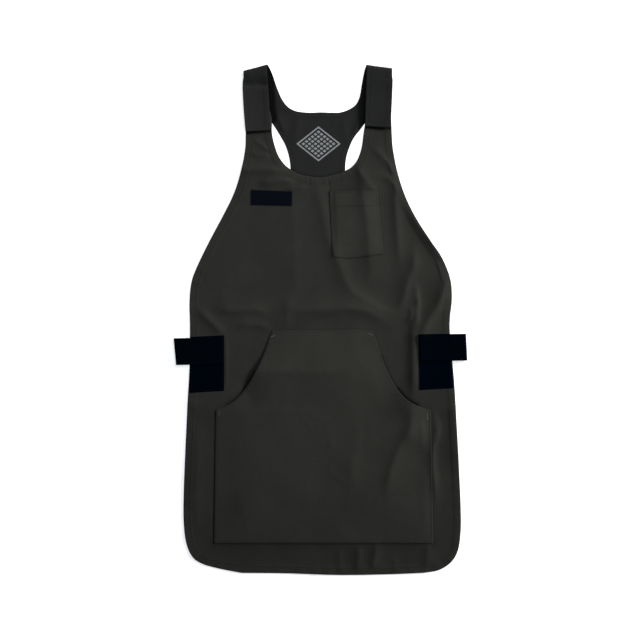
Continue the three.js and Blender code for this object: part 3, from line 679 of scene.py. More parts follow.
def kangaroo_bed(flat):
    """Underside of the pocket: on the panel at its sewn edges, standing off it in the middle by a
    flat-topped swell and along each mouth by a bell that is highest part way down the mouth."""
    x, y = flat.T
    swell = raised(x, y, KANGAROO_BOX, KANGAROO_EASE)
    stand = raised(x, y, KANGAROO_BOX, SEWN_EASE) * folds(x, y, KANGAROO_FOLDS)
    for mouth, gape, peak in GAPES:
        gap, number = nearest(flat, mouth)
        share = number / (len(mouth) - 1)
        gape = gape * np.exp(-((share - peak) / GAPE_SPREAD) ** 2)
        stand = stand + gape * np.exp(-(gap / GAPE_REACH) ** 2)
        swell = swell * ease(gap, 0, MOUTH_EASE)
    return front_top(x, y) + SEWN_GAP + stand + KANGAROO_PUFF * swell


def sewn_on(node, cloth, cut, hem, cell, bed, finish, slot, extra=NO_POINTS, relief=None):
    """A hemmed cut of cloth laid on its bed in the place of a CAD node. relief, if given, raises the
    upper face. Returns the piece, its upper face and the number of points in its rings."""
    flat, depth, _, web, count = hemmed(cut, hem[:, 0], cell, extra)
    upper, lower, edge = two_faces(flat, depth, hem, bed(flat))
    if relief:
        upper[:, 2] += relief(flat, depth)
    piece = put_sheet(f"{node}_{cloth}", upper, lower, web, count, finish, slot, flat, edge)
    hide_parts(node)
    return piece, upper, count


# The pockets are cut from a slightly paler run of the canvas.
pocket_finish = cotton_canvas("paler_cotton_canvas", "#272824", "#2f302c")
kangaroo_pocket, kangaroo_upper, kangaroo_count = sewn_on(
    "kangaroo_pocket", "canvas", kangaroo_cut, POCKET_HEM, 3.4, kangaroo_bed, pocket_finish, "canvas")
kangaroo_stitches = put_mesh(
    "kangaroo_pocket_stitches", *thread_run(*ring_path(kangaroo_upper, kangaroo_count, POCKET_STITCH_ROW)),
    dark_thread, "canvas")

# Each bar tack: centre x and y, half its run in x and y.
BAR_TACKS = [
    (-90.5, -30.5, 4.2, 2.2), (94.5, -27.0, 4.2, -2.0),
    (-193.0, -177.0, 0.1, 4.8), (203.0, -183.0, -0.2, 6.6),
]
TACK_LEVEL = POCKET_HEM[6, 1]


def joined(runs):
    """Several runs of thread as one set of points and triangles."""
    starts = np.cumsum([0] + [len(points) for points, _ in runs[:-1]])
    triangles = [web + start for (_, web), start in zip(runs, starts)]
    return np.vstack([points for points, _ in runs]), np.vstack(triangles)


def tack_run(row, wide=1.0, pitch=0.62, thick=0.26):
    """A bar tack: short threads side by side across a straight line on the pocket's hem, packed from
    end to end. Each thread is one stitch, because the pitch is just under the thread's length."""
    x, y, run_x, run_y = row
    flat = np.array([(x - run_x, y - run_y), (x + run_x, y + run_y)])
    first, last = np.column_stack([flat, kangaroo_bed(flat) + TACK_LEVEL])
    share = np.linspace(0, 1, int(np.linalg.norm(last - first) / pitch) + 1)[:, None]
    across = np.cross((0, 0, 1), last - first)
    across = across / np.linalg.norm(across) * wide
    threads = [upright(np.stack([middle - across, middle + across]))
               for middle in first * (1 - share) + last * share]
    return joined([thread_run(*thread, pitch=1.99 * wide, length=1.9 * wide, thick=thick)
                   for thread in threads])


tack_thread = sewing_thread("pale_grey_polyester_thread", "#454643", "#595a56")
bar_tacks = put_mesh("kangaroo_bar_tacks", *joined([tack_run(row) for row in BAR_TACKS]),
                     tack_thread, "canvas")

# Chest pocket: a small patch of canvas with a deep turned hem at its open top, stitched to the bib
# along its sides and its slightly bowed bottom.
CHEST_BOX, CHEST_PUFF, CHEST_EASE, CHEST_SEWN = (20, 112, 121, np.inf), 0.6, 34, 10
CHEST_FOLDS = [(1.6, 26, 8, [(28, 262), (30, 230), (33, 180), (36, 110)])]
# The deep hem's line, half the width of its step, the step's height, its groove's depth and reach.
CHEST_HEM_LINE, CHEST_HEM_HALF, CHEST_HEM_RISE = 216.0, 1.5, 0.25
CHEST_GROOVE, CHEST_GROOVE_REACH = 0.2, 1.1
CHEST_HEM_SIDES = (-CHEST_HEM_HALF, 0, CHEST_HEM_HALF)
hem_x = np.arange(22, 112, 2.0)
hem_lines = [np.column_stack([hem_x, 0 * hem_x + CHEST_HEM_LINE + aside]) for aside in CHEST_HEM_SIDES]


def chest_bed(flat):
    """Underside of the chest pocket: on the bib at its sides and bottom, eased off it towards the
    middle and the open top."""
    x, y = flat.T
    swell = CHEST_PUFF * raised(x, y, CHEST_BOX, CHEST_EASE)
    stand = swell + raised(x, y, CHEST_BOX, CHEST_SEWN) * folds(x, y, CHEST_FOLDS)
    return front_top(x, y) + SEWN_GAP + stand


def chest_hem(flat, _):
    """Relief of the deep hem: a smooth step up at its line, less a bell-shaped groove along it."""
    above = flat[:, 1] - CHEST_HEM_LINE
    step = CHEST_HEM_RISE * ease(above, -CHEST_HEM_HALF, CHEST_HEM_HALF)
    return step - CHEST_GROOVE * np.exp(-(above / CHEST_GROOVE_REACH) ** 2)


chest_pocket, chest_upper, chest_count = sewn_on(
    "chest_pocket", "canvas", chest_cut, POCKET_HEM, 3.5, chest_bed, pocket_finish, "canvas",
    np.vstack(hem_lines), chest_hem)
hem_stitch = np.column_stack([hem_lines[1], chest_bed(hem_lines[1]) + POCKET_HEM[-1, 1]])[2:-3]
chest_stitches = put_mesh(
    "chest_pocket_stitches",
    *joined([thread_run(*ring_path(chest_upper, chest_count, POCKET_STITCH_ROW)),
             thread_run(*upright(hem_stitch))]),
    dark_thread, "canvas")

# Label: a short, plain length of black woven polyester ribbon. Its ends are folded under, and one row
# of stitches all round holds it flat on the bib.
LABEL_HEM = np.array([
    (0.0, 0.5, 0.5, 0.3), (0.25, 0.95, 0.15, 0.5), (0.8, 1.2, 0.0, 0.3), (1.8, 1.15, 0.0, 0.0),
    (2.6, 0.95, 0.0, -0.2), (3.4, 1.15, 0.0, 0.0), (5.0, 1.1, 0.0, 0.0),
])
LABEL_STITCH_ROW = 4
LABEL_GAP = 0.25
# Woven polyester ribbon: near black with a cool cast, smooth, with fine satin ribs along its length.
# The real ribs are 0.3 mm apart and are drawn 1.1 mm apart.
RIBBON_RIB = 1.1 * MM


def ribbed_cloth(name, dark, light, spacing, rough, specular, height):
    """Ribbed woven material on the cut's coordinates: bands at the rib spacing, broken up by noise."""
    finish, tree, shader = new_finish(name)
    cut = add(tree, "ShaderNodeUVMap", {}, uv_map="cut")
    ribs = add(tree, "ShaderNodeTexWave",
               {"Vector": cut, "Scale": BANDS_IN_ONE / spacing, "Distortion": 0.6, "Detail Scale": 3.0},
               "Fac", bands_direction="Y")
    ticks = add(tree, "ShaderNodeTexWave",
                {"Vector": cut, "Scale": BANDS_IN_ONE / (2 * spacing), "Distortion": 1.0}, "Fac",
                bands_direction="X")
    fuzz = add(tree, "ShaderNodeTexNoise", {"Vector": cut, "Scale": 1 / (4 * spacing), "Detail": 4.0})
    relief = add(tree, "ShaderNodeMath", {0: ticks, 1: 0.4, 2: ribs}, operation="MULTIPLY_ADD")
    shade = add(tree, "ShaderNodeMath", {0: relief, 1: fuzz}, operation="MULTIPLY", use_clamp=True)
    colour = add(tree, "ShaderNodeMix", {"Factor": shade, FIRST: linear(dark), SECOND: linear(light)},
                 MIXED, data_type="RGBA")
    bump = add(tree, "ShaderNodeBump", {"Strength": 0.5, "Distance": height, "Height": relief})
    uneven = add(tree, "ShaderNodeMath", {0: fuzz, 1: 0.2, 2: rough - 0.1}, operation="MULTIPLY_ADD")
    feed(shader, {"Base Color": colour, "Normal": bump, "Roughness": uneven,
                  "Specular IOR Level": specular})
    return finish


ribbon_finish = ribbed_cloth(
    "black_woven_ribbon", "#04070d", "#070c14", RIBBON_RIB, rough=0.7, specular=0.02, height=0.12 * MM)
label, label_upper, label_count = sewn_on(
    "chest_label", "ribbon", label_cut, LABEL_HEM, 3.0, lambda flat: front_top(*flat.T) + LABEL_GAP,
    ribbon_finish, "label_cloth")
black_thread = sewing_thread("black_polyester_thread", "#020408", "#05080d")
label_row = ring_path(label_upper, label_count, LABEL_STITCH_ROW)
label_stitches = put_mesh(
    "chest_label_stitches", *thread_run(*label_row, pitch=2.6, length=2.0, thick=0.22), black_thread,
    "label_cloth")

# Side patches: two rectangles of black loop tape sewn to the panel at the waist, one at each side
# edge, for the ends of the waist strap to fasten on.
PATCH_HEM = np.array([
    (0.0, 0.6, 0.6, 0.0), (0.3, 1.2, 0.2, 0.2), (1.0, 1.6, 0.0, 0.2), (2.2, 1.7, 0.0, 0.0),
    (3.2, 1.25, 0.0, -0.3), (4.2, 1.7, 0.0, 0.0), (6.0, 1.75, 0.0, 0.0),
])
PATCH_STITCH_ROW = 4
PATCH_TUFT = 0.08
PATCHES = {
    "left": [(-247.5, -32), (-248, -138), (-183, -134), (-183, -29)],
    "right": [(186, -27), (188.5, -132.5), (252.5, -129), (246, -26)],
}
# Hook-and-loop loop side: knitted nylon pile, black with a blue cast. It swallows light, so it has
# no gloss. The real loops are 0.5 mm across and are drawn 1.5 mm across.
LOOP_SIZE, BRUSHED_PATCH = 1.5 * MM, 14 * MM


def loop_pile(name, dark, light):
    """Loop pile on Object coordinates: cells at the loop size give its shade and relief."""
    finish, tree, shader = new_finish(name)
    place = add(tree, "ShaderNodeTexCoord", {}, "Object")
    loops = add(tree, "ShaderNodeTexVoronoi", {"Vector": place, "Scale": 1 / LOOP_SIZE})
    brushed = add(tree, "ShaderNodeTexNoise", {"Vector": place, "Scale": 1 / BRUSHED_PATCH, "Detail": 3.0})
    shade = add(tree, "ShaderNodeMath", {0: loops, 1: brushed}, operation="MULTIPLY", use_clamp=True)
    colour = add(tree, "ShaderNodeMix", {"Factor": shade, FIRST: linear(light), SECOND: linear(dark)},
                 MIXED, data_type="RGBA")
    bump = add(tree, "ShaderNodeBump", {"Strength": 0.8, "Distance": 0.5 * MM, "Height": loops})
    rough = add(tree, "ShaderNodeMath", {0: brushed, 1: 0.15, 2: 0.85}, operation="MULTIPLY_ADD")
    feed(shader, {"Base Color": colour, "Normal": bump, "Roughness": rough, "Specular IOR Level": 0.0})
    return finish


pile_finish = loop_pile("black_loop_pile", "#000307", "#01050d")


def tufts(flat, depth):
    """Low tufts of the pile inside the stitched groove: a sine wave bent by another."""
    x, y = flat.T
    return PATCH_TUFT * np.sin(x * 2.1 + 3 * np.sin(y * 0.7)) * (depth > PATCH_HEM[-2, 0])


for side, corners in PATCHES.items():
    patch, upper, count = sewn_on(
        f"side_patch_{side}", "pile", cornered(corners, 2.0), PATCH_HEM, 3.5,
        lambda flat: hem_top(flat) + SEWN_GAP, pile_finish, "loop_tape", relief=tufts)
    stitches = put_mesh(
        f"{patch.name}_stitches", *thread_run(*ring_path(upper, count, PATCH_STITCH_ROW)), black_thread,
        "loop_tape")

# Yoke: the racer back and its two arms, one cut of the same canvas. Each arm folds over at the
# shoulder and comes down on the front strap as an over-strap; the back strap runs on under the
# front panel to the waist.
FOLD_RADIUS, YOKE_MIDDLE, STRAP_REST = 6.2, 0.8, 7.6
FOLD_OUT = FOLD_RADIUS + YOKE_MIDDLE
FOLD_PAST = FOLD_OUT - np.pi * FOLD_RADIUS
FOLDS_OVER = {
    "left": ((-144.5, 473.7), (-100.8, 485.3)),
    "right": ((85.8, 484.8), (135.0, 478.4)),
}


def fold_frame(side):
    """A shoulder fold's outer start, the unit way along it and the unit way from it to the body."""
    start, end = (np.array(point) for point in FOLDS_OVER[side])
    along = (end - start) / np.linalg.norm(end - start)
    return start, along, np.array([along[1], -along[0]])


def unfolded(side, points):
    """Where points of the over-strap lie on the flat cut: turned back over the fold line, with the
    half circle of the fold laid out straight."""
    start, along, down = fold_frame(side)
    rest = np.asarray(points, float) - start
    back = FOLD_OUT + FOLD_PAST - rest @ down
    return [tuple(p) for p in start + np.outer(rest @ along, along) + np.outer(back, down)]


YOKE_STEP, YOKE_CELL = 1.8, 4.5
LEFT_STRAP_OUTER = [(-142, 357), (-145.3, 395), (-147.8, 445), (-146, 463)]
LEFT_STRAP_INNER = [(-101.2, 470), (-99.6, 444), (-97, 405), (-95.5, 360)]
RIGHT_STRAP_OUTER = [(136, 464), (137, 450), (135, 400), (133, 365)]
RIGHT_STRAP_INNER = [(84, 368), (85.3, 405), (86.8, 450), (87.4, 470)]
LEFT_ARMHOLE = [(-141, 462), (-128, 425), (-93, 376), (-77, 351), (-65, 328), (-58, 300), (-56, 262)]
RIGHT_ARMHOLE = [(46.5, 262), (48, 300), (53, 322), (63, 345), (80, 368), (115, 420), (130.5, 462)]
YOKE_NECK = [
    (84.6, 477), (81.2, 462), (78.2, 445), (74, 423), (66, 408.2), (50, 398.6), (35, 394.6),
    (19, 394.5), (0, 395), (-19, 394.4), (-37, 395.6), (-50, 398.6), (-63, 406.6), (-74, 421.8),
    (-83.5, 444.6), (-90, 464), (-96, 478),
]
BACK_STRAP_FOOT = [(-56, -88), (46.5, -88)]
left_outer, left_inner = (unfolded("left", edge) for edge in (LEFT_STRAP_OUTER, LEFT_STRAP_INNER))
right_outer, right_inner = (unfolded("right", edge) for edge in (RIGHT_STRAP_OUTER, RIGHT_STRAP_INNER))
yoke_cut = [smooth_line(edge, YOKE_STEP) for edge in (
    left_outer + LEFT_ARMHOLE,
    [LEFT_ARMHOLE[-1], BACK_STRAP_FOOT[0]],
    BACK_STRAP_FOOT,
    [BACK_STRAP_FOOT[1], RIGHT_ARMHOLE[0]],
    RIGHT_ARMHOLE + right_outer,
    [right_outer[-1], right_inner[0]],
    right_inner + YOKE_NECK + left_inner,
    [left_inner[-1], left_outer[0]],
)]
# Both faces of the yoke show, so its hem stands out on both.
# Its wear below zero is painted shade, which dims the rim where the lamp catches it and darkens the cloth
# beside the stitch line.
YOKE_HEM = np.array([
    (0.0, 0.8, 0.8, -0.35), (0.3, 1.2, 0.4, -0.3), (0.9, 1.42, 0.18, -0.12), (2.0, 1.48, 0.12, 0.0),
    (5.0, 1.48, 0.12, 0.0), (8.0, 1.47, 0.13, 0.0), (9.0, 1.42, 0.18, -0.12), (10.0, 1.46, 0.14, 0.0),
    (11.5, 1.43, 0.17, 0.0), (13.0, 1.41, 0.19, 0.0), (15.0, 1.4, 0.2, 0.0),
])
YOKE_STITCH_ROW = 6
# Each over-strap past its fold: where it starts and ends its way down, its cross seam, how deep it
# sags before the seam, the slant that sets all these square to the strap, and how much it cups.
STRAP_DOWN = {"left": (4.0, 24.0, 33.0, 3.2, 0.28, 1.0), "right": (2.0, 60.0, 19.0, 0.0, -0.17, 0.4)}
STRAP_HALF, SEAM_HALF, SEAM_GROOVE = 21.0, 1.5, 1.6


def on_strap(side, steps, spread, slant=0.0):
    """Points of the flat cut spread mm along a shoulder fold and steps mm from it to the body, the
    steps slanting with the spread."""
    start, along, down = fold_frame(side)
    steps, spread = (grid.reshape(-1, 1) for grid in np.meshgrid(steps, spread))
    return start + (steps - slant * (spread - STRAP_HALF)) * down + spread * along


# Close rows of points carry the cloth round each fold and over each cross seam.
BEND_STEPS = np.arange(FOLD_OUT + 2, FOLD_PAST - 3, -1.1)
SEAM_STEPS = np.array([-2, -1, 0, 1, 2]) * SEAM_HALF
BEND_SPREAD = np.arange(-20, 70, 2.6)
bend_rows = []
for side, (_, _, seam, _, slant, _) in STRAP_DOWN.items():
    bend_rows.append(on_strap(side, BEND_STEPS, BEND_SPREAD))
    bend_rows.append(on_strap(side, FOLD_PAST - seam + SEAM_STEPS, BEND_SPREAD, slant))
yoke_flat, yoke_depth, _, yoke_web, yoke_count = hemmed(
    yoke_cut, YOKE_HEM[:, 0], YOKE_CELL, np.vstack(bend_rows))
YOKE_FOLDS = [
    (1.8, 8, 6, [(-85, 391), (-74, 372), (-68, 356)]),
    (1.6, 5, 6, [(83, 392), (72, 374), (62, 352)]),
    (1.2, 8, 8, [(-40, 388), (-46, 360), (-52, 330)]),
    (1.0, 8, 8, [(44, 386), (47, 362), (50, 336)]),
]
# The yoke's folds end here; the cross seam's step; the sag's place before the seam and its reach;
# where the strap has left the fold, and where its cup is full.
YOKE_FOLDS_END, SEAM_STEP, SAG_BEFORE, SAG_REACH = (-470, -440), 0.4, 6, 5.5
LEFT_FOLD, FULL_CUP = 3, 25


def folded(flat, height):
    """Bends the flat cut over the shoulders. Past a fold line the cloth follows a half circle and
    then lies back on itself: its height above the middle of the cloth is measured along the turned
    normal, and the upper leg eases down from the top of the fold to the front strap. A step and a
    groove make its cross seam, a bell its sag, and a square across its width its cup."""
    crease = folds(*flat.T, YOKE_FOLDS) * ease(-flat[:, 1], *YOKE_FOLDS_END)
    place = np.column_stack([flat, crease + height])
    off = height - YOKE_MIDDLE
    for side in FOLDS_OVER:
        start, along, down = fold_frame(side)
        rest = flat - start
        q = FOLD_OUT - rest @ down
        mine = (q > 0) & ((flat[:, 0] < 0) == (side == "left"))
        angle = np.clip(q / FOLD_RADIUS, 0, np.pi)
        over = np.maximum(q - np.pi * FOLD_RADIUS, 0)
        reach = FOLD_OUT - (FOLD_RADIUS - off) * np.sin(angle) + over
        high = YOKE_MIDDLE + FOLD_RADIUS - (FOLD_RADIUS - off) * np.cos(angle)
        drop = STRAP_REST - YOKE_MIDDLE - 2 * FOLD_RADIUS
        leave, arrive, seam, sag, slant, cup = STRAP_DOWN[side]
        spread = rest @ along
        level = over - slant * (spread - STRAP_HALF)
        past_seam = level - seam
        high = high + drop * ease(level, leave, arrive) * ease(over, 0, LEFT_FOLD)
        groove = np.exp(-(past_seam / SEAM_GROOVE) ** 2)
        high = high + SEAM_STEP * (ease(past_seam, -SEAM_HALF, SEAM_HALF) - groove)
        high = high - sag * np.exp(-((past_seam + SAG_BEFORE) / SAG_REACH) ** 2)
        high = high + cup * ease(over, 0, FULL_CUP) * (spread / STRAP_HALF - 1) ** 2
        spot = start + np.outer(spread, along) + reach[:, None] * down
        place[mine] = np.column_stack([spot, high])[mine]
    return place


yoke_top, yoke_under, yoke_wear_and_shade = hem_rows(yoke_depth, YOKE_HEM)
yoke_upper, yoke_lower = folded(yoke_flat, yoke_top), folded(yoke_flat, yoke_under)

# The middle of the yoke carries a worn one-colour print: small lozenges set in a larger lozenge.
PRINT_CENTRE = (-3.6 * MM, 335 * MM)
PRINT_HALF_WIDTH, PRINT_HALF_HEIGHT = 43 * MM, 34 * MM
# Shares of the big lozenge: where its field of small ones ends, its border's middle and half width.
PRINT_FIELD, PRINT_BORDER, PRINT_LINE = 0.8, 0.93, 0.05
PRINT_ROWS, PRINT_GAP, PRINT_WEAR = 3, 0.17, 0.9
PRINT_INK = "#898c8e"


def lozenge_print(tree, cut, streaks):
    """Share of ink: with p and q along the two slanted axes of the big lozenge, each cell of the
    grid of p and q holds a smaller lozenge, inside a border line; streaks wear the ink away."""
    place = add(tree, "ShaderNodeMapping", {
        0: cut, "Location": (-PRINT_CENTRE[0] / PRINT_HALF_WIDTH, -PRINT_CENTRE[1] / PRINT_HALF_HEIGHT, 0),
        "Scale": (1 / PRINT_HALF_WIDTH, 1 / PRINT_HALF_HEIGHT, 1)})
    axes = add(tree, "ShaderNodeSeparateXYZ", {0: place}).node
    cells, sides = [], []
    for operation in ("ADD", "SUBTRACT"):
        slant = add(tree, "ShaderNodeMath", {0: axes.outputs[0], 1: axes.outputs[1]}, operation=operation)
        sides.append(add(tree, "ShaderNodeMath", {0: slant}, operation="ABSOLUTE"))
        cell = add(tree, "ShaderNodeMath", {0: slant, 1: PRINT_ROWS / PRINT_FIELD}, operation="MULTIPLY")
        cell = add(tree, "ShaderNodeMath", {0: cell, 1: 0.5}, operation="PINGPONG")
        cells.append(add(tree, "ShaderNodeMath", {0: cell, 1: PRINT_GAP}, operation="GREATER_THAN"))
    radius = add(tree, "ShaderNodeMath", {0: sides[0], 1: sides[1]}, operation="MAXIMUM")
    motif = add(tree, "ShaderNodeMath", {0: cells[0], 1: cells[1]}, operation="MULTIPLY")
    within = add(tree, "ShaderNodeMath", {0: radius, 1: PRINT_FIELD}, operation="LESS_THAN")
    motif = add(tree, "ShaderNodeMath", {0: motif, 1: within}, operation="MULTIPLY")
    border = add(tree, "ShaderNodeMath", {0: radius, 1: PRINT_BORDER, 2: PRINT_LINE}, operation="COMPARE")
    motif = add(tree, "ShaderNodeMath", {0: motif, 1: border}, operation="MAXIMUM")
    share = add(tree, "ShaderNodeMath", {0: motif, 1: streaks}, operation="MULTIPLY", use_clamp=True)
    share = add(tree, "ShaderNodeMath", {0: share, 1: PRINT_WEAR}, operation="MULTIPLY")
    return share, linear(PRINT_INK)


yoke_finish = cotton_canvas("printed_cotton_canvas", "#1d1e1d", "#232423", lozenge_print)
# Painted shade: the cloth's colour is darkened where shade falls, where it goes in under the neckline and
# deep in the folds beside the over-straps. Each row is a line, the shade and reach of its darkest part,
# the shade and end of its softer part.
YOKE_PAINTED_SHADE_LINES = [
    (NECKLINE, 0.6, 3.0, 0.0, 1.0),
    ([(-101.4, 478), (-99.6, 444), (-97, 405), (-95, 386)], 0.3, 3.2, 1.0, 17.0),
    ([(87.6, 478), (86.8, 450), (85.3, 405), (84, 368)], 0.6, 3.2, 0.3, 14.0),
]
for line, core, core_reach, soft, soft_end in YOKE_PAINTED_SHADE_LINES:
    gap = nearest(yoke_flat, smooth_line(line, CREVICE_STEP))[0]
    shade = core * np.exp(-(gap / core_reach) ** 2) + soft * ease(-gap, -soft_end, -0.5 * soft_end)
    yoke_wear_and_shade = yoke_wear_and_shade - shade
yoke = put_sheet("back_yoke_canvas", yoke_upper, yoke_lower, yoke_web, yoke_count, yoke_finish, "canvas",
                 yoke_flat, yoke_wear_and_shade)
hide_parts("back_yoke")
yoke_stitch_paths = []
for near_face, far_face in ((yoke_upper, yoke_lower), (yoke_lower, yoke_upper)):
    path = ring_path(near_face, yoke_count, YOKE_STITCH_ROW)[0]
    out = path - ring_path(far_face, yoke_count, YOKE_STITCH_ROW)[0]
    yoke_stitch_paths.append(thread_run(path, out / np.linalg.norm(out, axis=1, keepdims=True)))
STITCH_SPREAD, STITCH_PAST_SEAM = np.arange(3, 42, 2.0), 3.0
for side, (_, _, seam, _, slant, _) in STRAP_DOWN.items():
    across_strap = on_strap(side, [FOLD_PAST - seam - STITCH_PAST_SEAM], STITCH_SPREAD, slant)
    path = folded(across_strap, np.full(len(across_strap), YOKE_HEM[-1, 2]))
    yoke_stitch_paths.append(thread_run(*upright(path)))
yoke_stitches = put_mesh("back_yoke_stitches", *joined(yoke_stitch_paths), dark_thread, "canvas")

# Shoulder tapes: a length of loop tape on each front strap, hidden under the over-strap's end,
# which it holds.
TAPES = {
    "left": [(-141.5, 424), (-136.5, 364), (-99, 366), (-102.5, 424)],
    "right": [(91.5, 424), (89, 373), (128, 371), (131, 424)],
}
TAPE_GAP = 0.4
TAPE_HEM = np.array([
    (0.0, 0.6, 0.6, 0.0), (0.3, 1.0, 0.2, 0.0), (1.0, 1.3, 0.0, 0.0), (3.0, 1.35, 0.0, 0.0),
])
for side, corners in TAPES.items():
    tape = sewn_on(
        f"shoulder_tape_{side}", "pile", cornered(corners, 3.0), TAPE_HEM, 4.0,
        lambda flat: hem_top(flat) + TAPE_GAP, pile_finish, "loop_tape")[0]

# Waist strap: one length of black nylon webbing. It runs behind the front panel, over the back
# strap, turns round both side edges and ends on the loop patches.
WEBBING, STRAP_WIDTH = 1.6, 51.0
STRAP_CENTRE, STRAP_SLOPE, STRAP_RADIUS = -55.8, 0.0153, 3.8
# Left and right: how far out the strap turns back, where it ends, and how much its turn slants.
STRAP_REACH, STRAP_ENDS, STRAP_SKEW = (276.7, 277.9), (185.0, 189.0), (0.09, 0.05)
# Steps along the strap and round its turn; how high the back strap lifts it, and where; where it comes
# to lie on a patch, and how far its middle then is above the pile.
STRAP_STEP, TURN_STEPS, BACK_STRAP_LIFT, BACK_STRAP_EASE = 2.5, 15, 2.2, (-100, -62)
PATCH_EASE, ABOVE_PILE = (-255, -235), 1.1
SKEW_CHANGES = (-100, 100)


def strap_half(reach, end):
    """One side of the strap's path: from the middle along the surface, round a half circle at the
    side and back over the patch to the strap's end. Columns are x, height, and how far the strap
    has come to lie on the patch, where its height counts from the front panel."""
    turn_x = reach - STRAP_RADIUS - WEBBING / 2
    low = WEBBING / 2
    run = np.arange(0, turn_x, STRAP_STEP)
    under = np.stack([run, low + BACK_STRAP_LIFT * ease(-run, *BACK_STRAP_EASE), 0 * run], 1)
    angle = np.linspace(0, np.pi, TURN_STEPS)
    bend = np.stack([turn_x + STRAP_RADIUS * np.sin(angle), low + STRAP_RADIUS * (1 - np.cos(angle)),
                     0 * angle], 1)
    back = np.append(np.arange(turn_x - STRAP_STEP, end, -STRAP_STEP), end)
    on_patch = ease(-back, *PATCH_EASE)
    pile = SEWN_GAP + PATCH_HEM[-1, 1]
    high = (low + 2 * STRAP_RADIUS) * (1 - on_patch) + (pile + ABOVE_PILE) * on_patch
    over = np.stack([back, high, on_patch], 1)
    return np.vstack([under, bend, over])


left_half, right_half = (strap_half(reach, end) for reach, end in zip(STRAP_REACH, STRAP_ENDS))
strap_path = np.vstack([left_half[:0:-1] * (-1, 1, 1), right_half])
# The webbing's section: ribs as half sine waves, and edges rounded as an ellipse past EDGE_START.
STRAP_RIBS, RIB_DEPTH, STRAP_ACROSS, EDGE_START = 12, 0.12, 61, 0.97
across = np.linspace(-1, 1, STRAP_ACROSS)
rib = RIB_DEPTH * np.abs(np.sin(np.pi * STRAP_RIBS * (across + 1) / 2))
past_start = ((np.abs(across) - EDGE_START) / (1 - EDGE_START)).clip(0)
half_thick = (WEBBING / 2 - RIB_DEPTH + rib) * np.sqrt(np.clip(1 - past_start ** 2, 0.02, 1))
profile = np.vstack([np.stack([across * STRAP_WIDTH / 2, -half_thick], 1),
                     np.stack([across * STRAP_WIDTH / 2, half_thick], 1)[::-1]])
out = leftward(strap_path[:, :2])
strap_x = strap_path[:, None, 0] + out[:, None, 0] * profile[None, :, 1]
strap_z = strap_path[:, None, 1] + out[:, None, 1] * profile[None, :, 1]
strap_y = np.broadcast_to(profile[None, :, 0], strap_x.shape)
skew = STRAP_SKEW[0] + (STRAP_SKEW[1] - STRAP_SKEW[0]) * ease(strap_x, *SKEW_CHANGES)
strap_u = strap_x - skew * strap_y
strap_v = STRAP_SLOPE * strap_x + strap_y + STRAP_CENTRE
panel = hem_top(np.column_stack([strap_u.ravel(), strap_v.ravel()])).reshape(strap_u.shape)
strap_points = np.stack([strap_u, strap_v, strap_z + strap_path[:, None, 2] * panel], -1)
lengths, girth = strap_x.shape
half = girth // 2
near, far = np.arange(half - 1), girth - 1 - np.arange(half - 1)
cap = np.vstack([np.stack([near, near + 1, far], 1), np.stack([near + 1, far - 1, far], 1)])
strap_web = np.vstack([ring_faces(lengths, girth), cap[:, ::-1], cap + (lengths - 1) * girth])
strap_run = along_line(strap_path[:, :2])
strap_cut = np.stack(np.broadcast_arrays(strap_run[:, None], profile[None, :, 0]), -1).reshape(-1, 2)
# Nylon webbing: tightly woven ribs along the strap, black, with a dull sheen.
# The real picks are 1 mm apart and are drawn 2 mm apart.
WEBBING_RIB = 2.0 * MM
webbing_finish = ribbed_cloth(
    "black_nylon_webbing", "#000307", "#01050b", WEBBING_RIB, rough=0.8, specular=0.01, height=0.25 * MM)
waist_strap = put_mesh("waist_strap_webbing", strap_points.reshape(-1, 3), strap_web, webbing_finish,
                       "webbing", strap_cut)
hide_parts("waist_strap")

# Studio: a plain white table, a soft lamp overhead, a wide soft lamp from the upper right, and a
# camera straight above, as the photograph was taken.
TABLE_DROP, TABLE_HALF, TABLE_LINES = 0.4, 60000.0, 9
sides = np.linspace(-TABLE_HALF, TABLE_HALF, TABLE_LINES)
table_x, table_y = np.meshgrid(sides, sides)
table_points = np.stack([table_x, table_y, np.full_like(table_x, -TABLE_DROP)], -1).reshape(-1, 3) * MM
spot = np.arange(TABLE_LINES - 1)[:, None] * TABLE_LINES + np.arange(TABLE_LINES - 1)
table_faces = np.stack([spot, spot + 1, spot + TABLE_LINES + 1, spot + TABLE_LINES], -1).reshape(-1, 4)
table_mesh = bpy.data.meshes.new("table")
table_mesh.from_pydata(table_points.tolist(), [], table_faces.tolist())
table = bpy.data.objects.new("table", table_mesh)
bpy.context.scene.collection.objects.link(table)
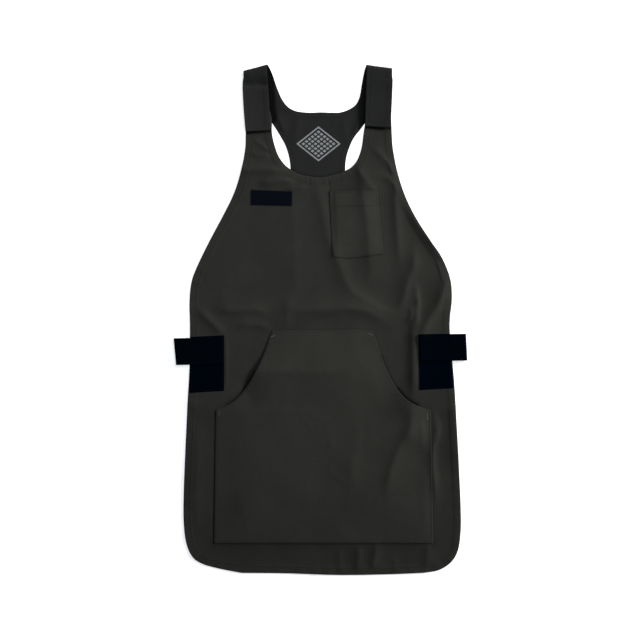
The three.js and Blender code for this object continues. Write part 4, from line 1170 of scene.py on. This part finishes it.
# White backdrop paper: matt, faintly grained, and lit through so that it stays white to its edges.
PAPER_GRAIN = 25 * MM
paper, tree, shader = new_finish("white_backdrop_paper")
place = add(tree, "ShaderNodeTexCoord", {}, "Object")
grain = add(tree, "ShaderNodeTexNoise", {"Vector": place, "Scale": 1 / PAPER_GRAIN, "Detail": 2.0})
colour = add(tree, "ShaderNodeMix", {
    "Factor": grain, FIRST: linear("#f2f2f1"), SECOND: linear("#f6f6f5")}, MIXED, data_type="RGBA")
feed(shader, {"Base Color": colour, "Roughness": 0.9, "Emission Color": linear("#ffffff"),
              "Emission Strength": 0.7, "Specular IOR Level": 0.1})
table_mesh.materials.append(paper)

room = bpy.data.worlds.new("studio")
room.use_nodes = True
feed(room.node_tree.nodes["Background"], {"Color": linear("#c2d2fb"), "Strength": 0.13})
bpy.context.scene.world = room

# Each lamp: place, what it points at, its size, its watts and its colour.
LAMPS = {
    "overhead_softbox": ((0.0, 0.17, 0.62), (0.0, 0.17, 0.0), 0.4, 1.75, "#ffffff"),
    "upper_right_softbox": ((5.5, 2.56, 2.25), (0.0, 0.0, 0.0), 1.5, 780.0, "#fffefa"),
}
for name, (place, aim, size, watts, colour) in LAMPS.items():
    lamp = bpy.data.lights.new(name, "AREA")
    lamp.shape = "DISK"
    lamp.size = size
    lamp.energy = watts
    lamp.color = linear(colour)[:3]
    holder = bpy.data.objects.new(name, lamp)
    holder.location = place
    holder.rotation_euler = (Vector(aim) - Vector(place)).to_track_quat("-Z", "Y").to_euler()
    holder.visible_camera = False
    bpy.context.scene.collection.objects.link(holder)

# Metres: the camera's height and place in x, the picture's width and the height at which it is measured.
CAMERA_HEIGHT, CAMERA_X, PICTURE_WIDTH, CLOTH_LEVEL = 3.0, -0.0008, 1.216, 0.004
SENSOR = 36.0
lens = bpy.data.cameras.new("overhead_camera")
lens.sensor_width = SENSOR
lens.sensor_fit = "HORIZONTAL"
lens.lens = SENSOR * (CAMERA_HEIGHT - CLOTH_LEVEL) / PICTURE_WIDTH
camera = bpy.data.objects.new("overhead_camera", lens)
camera.location = (CAMERA_X, 0.0, CAMERA_HEIGHT)
bpy.context.scene.collection.objects.link(camera)
bpy.context.scene.camera = camera
bpy.context.scene.view_settings.view_transform = "Standard"
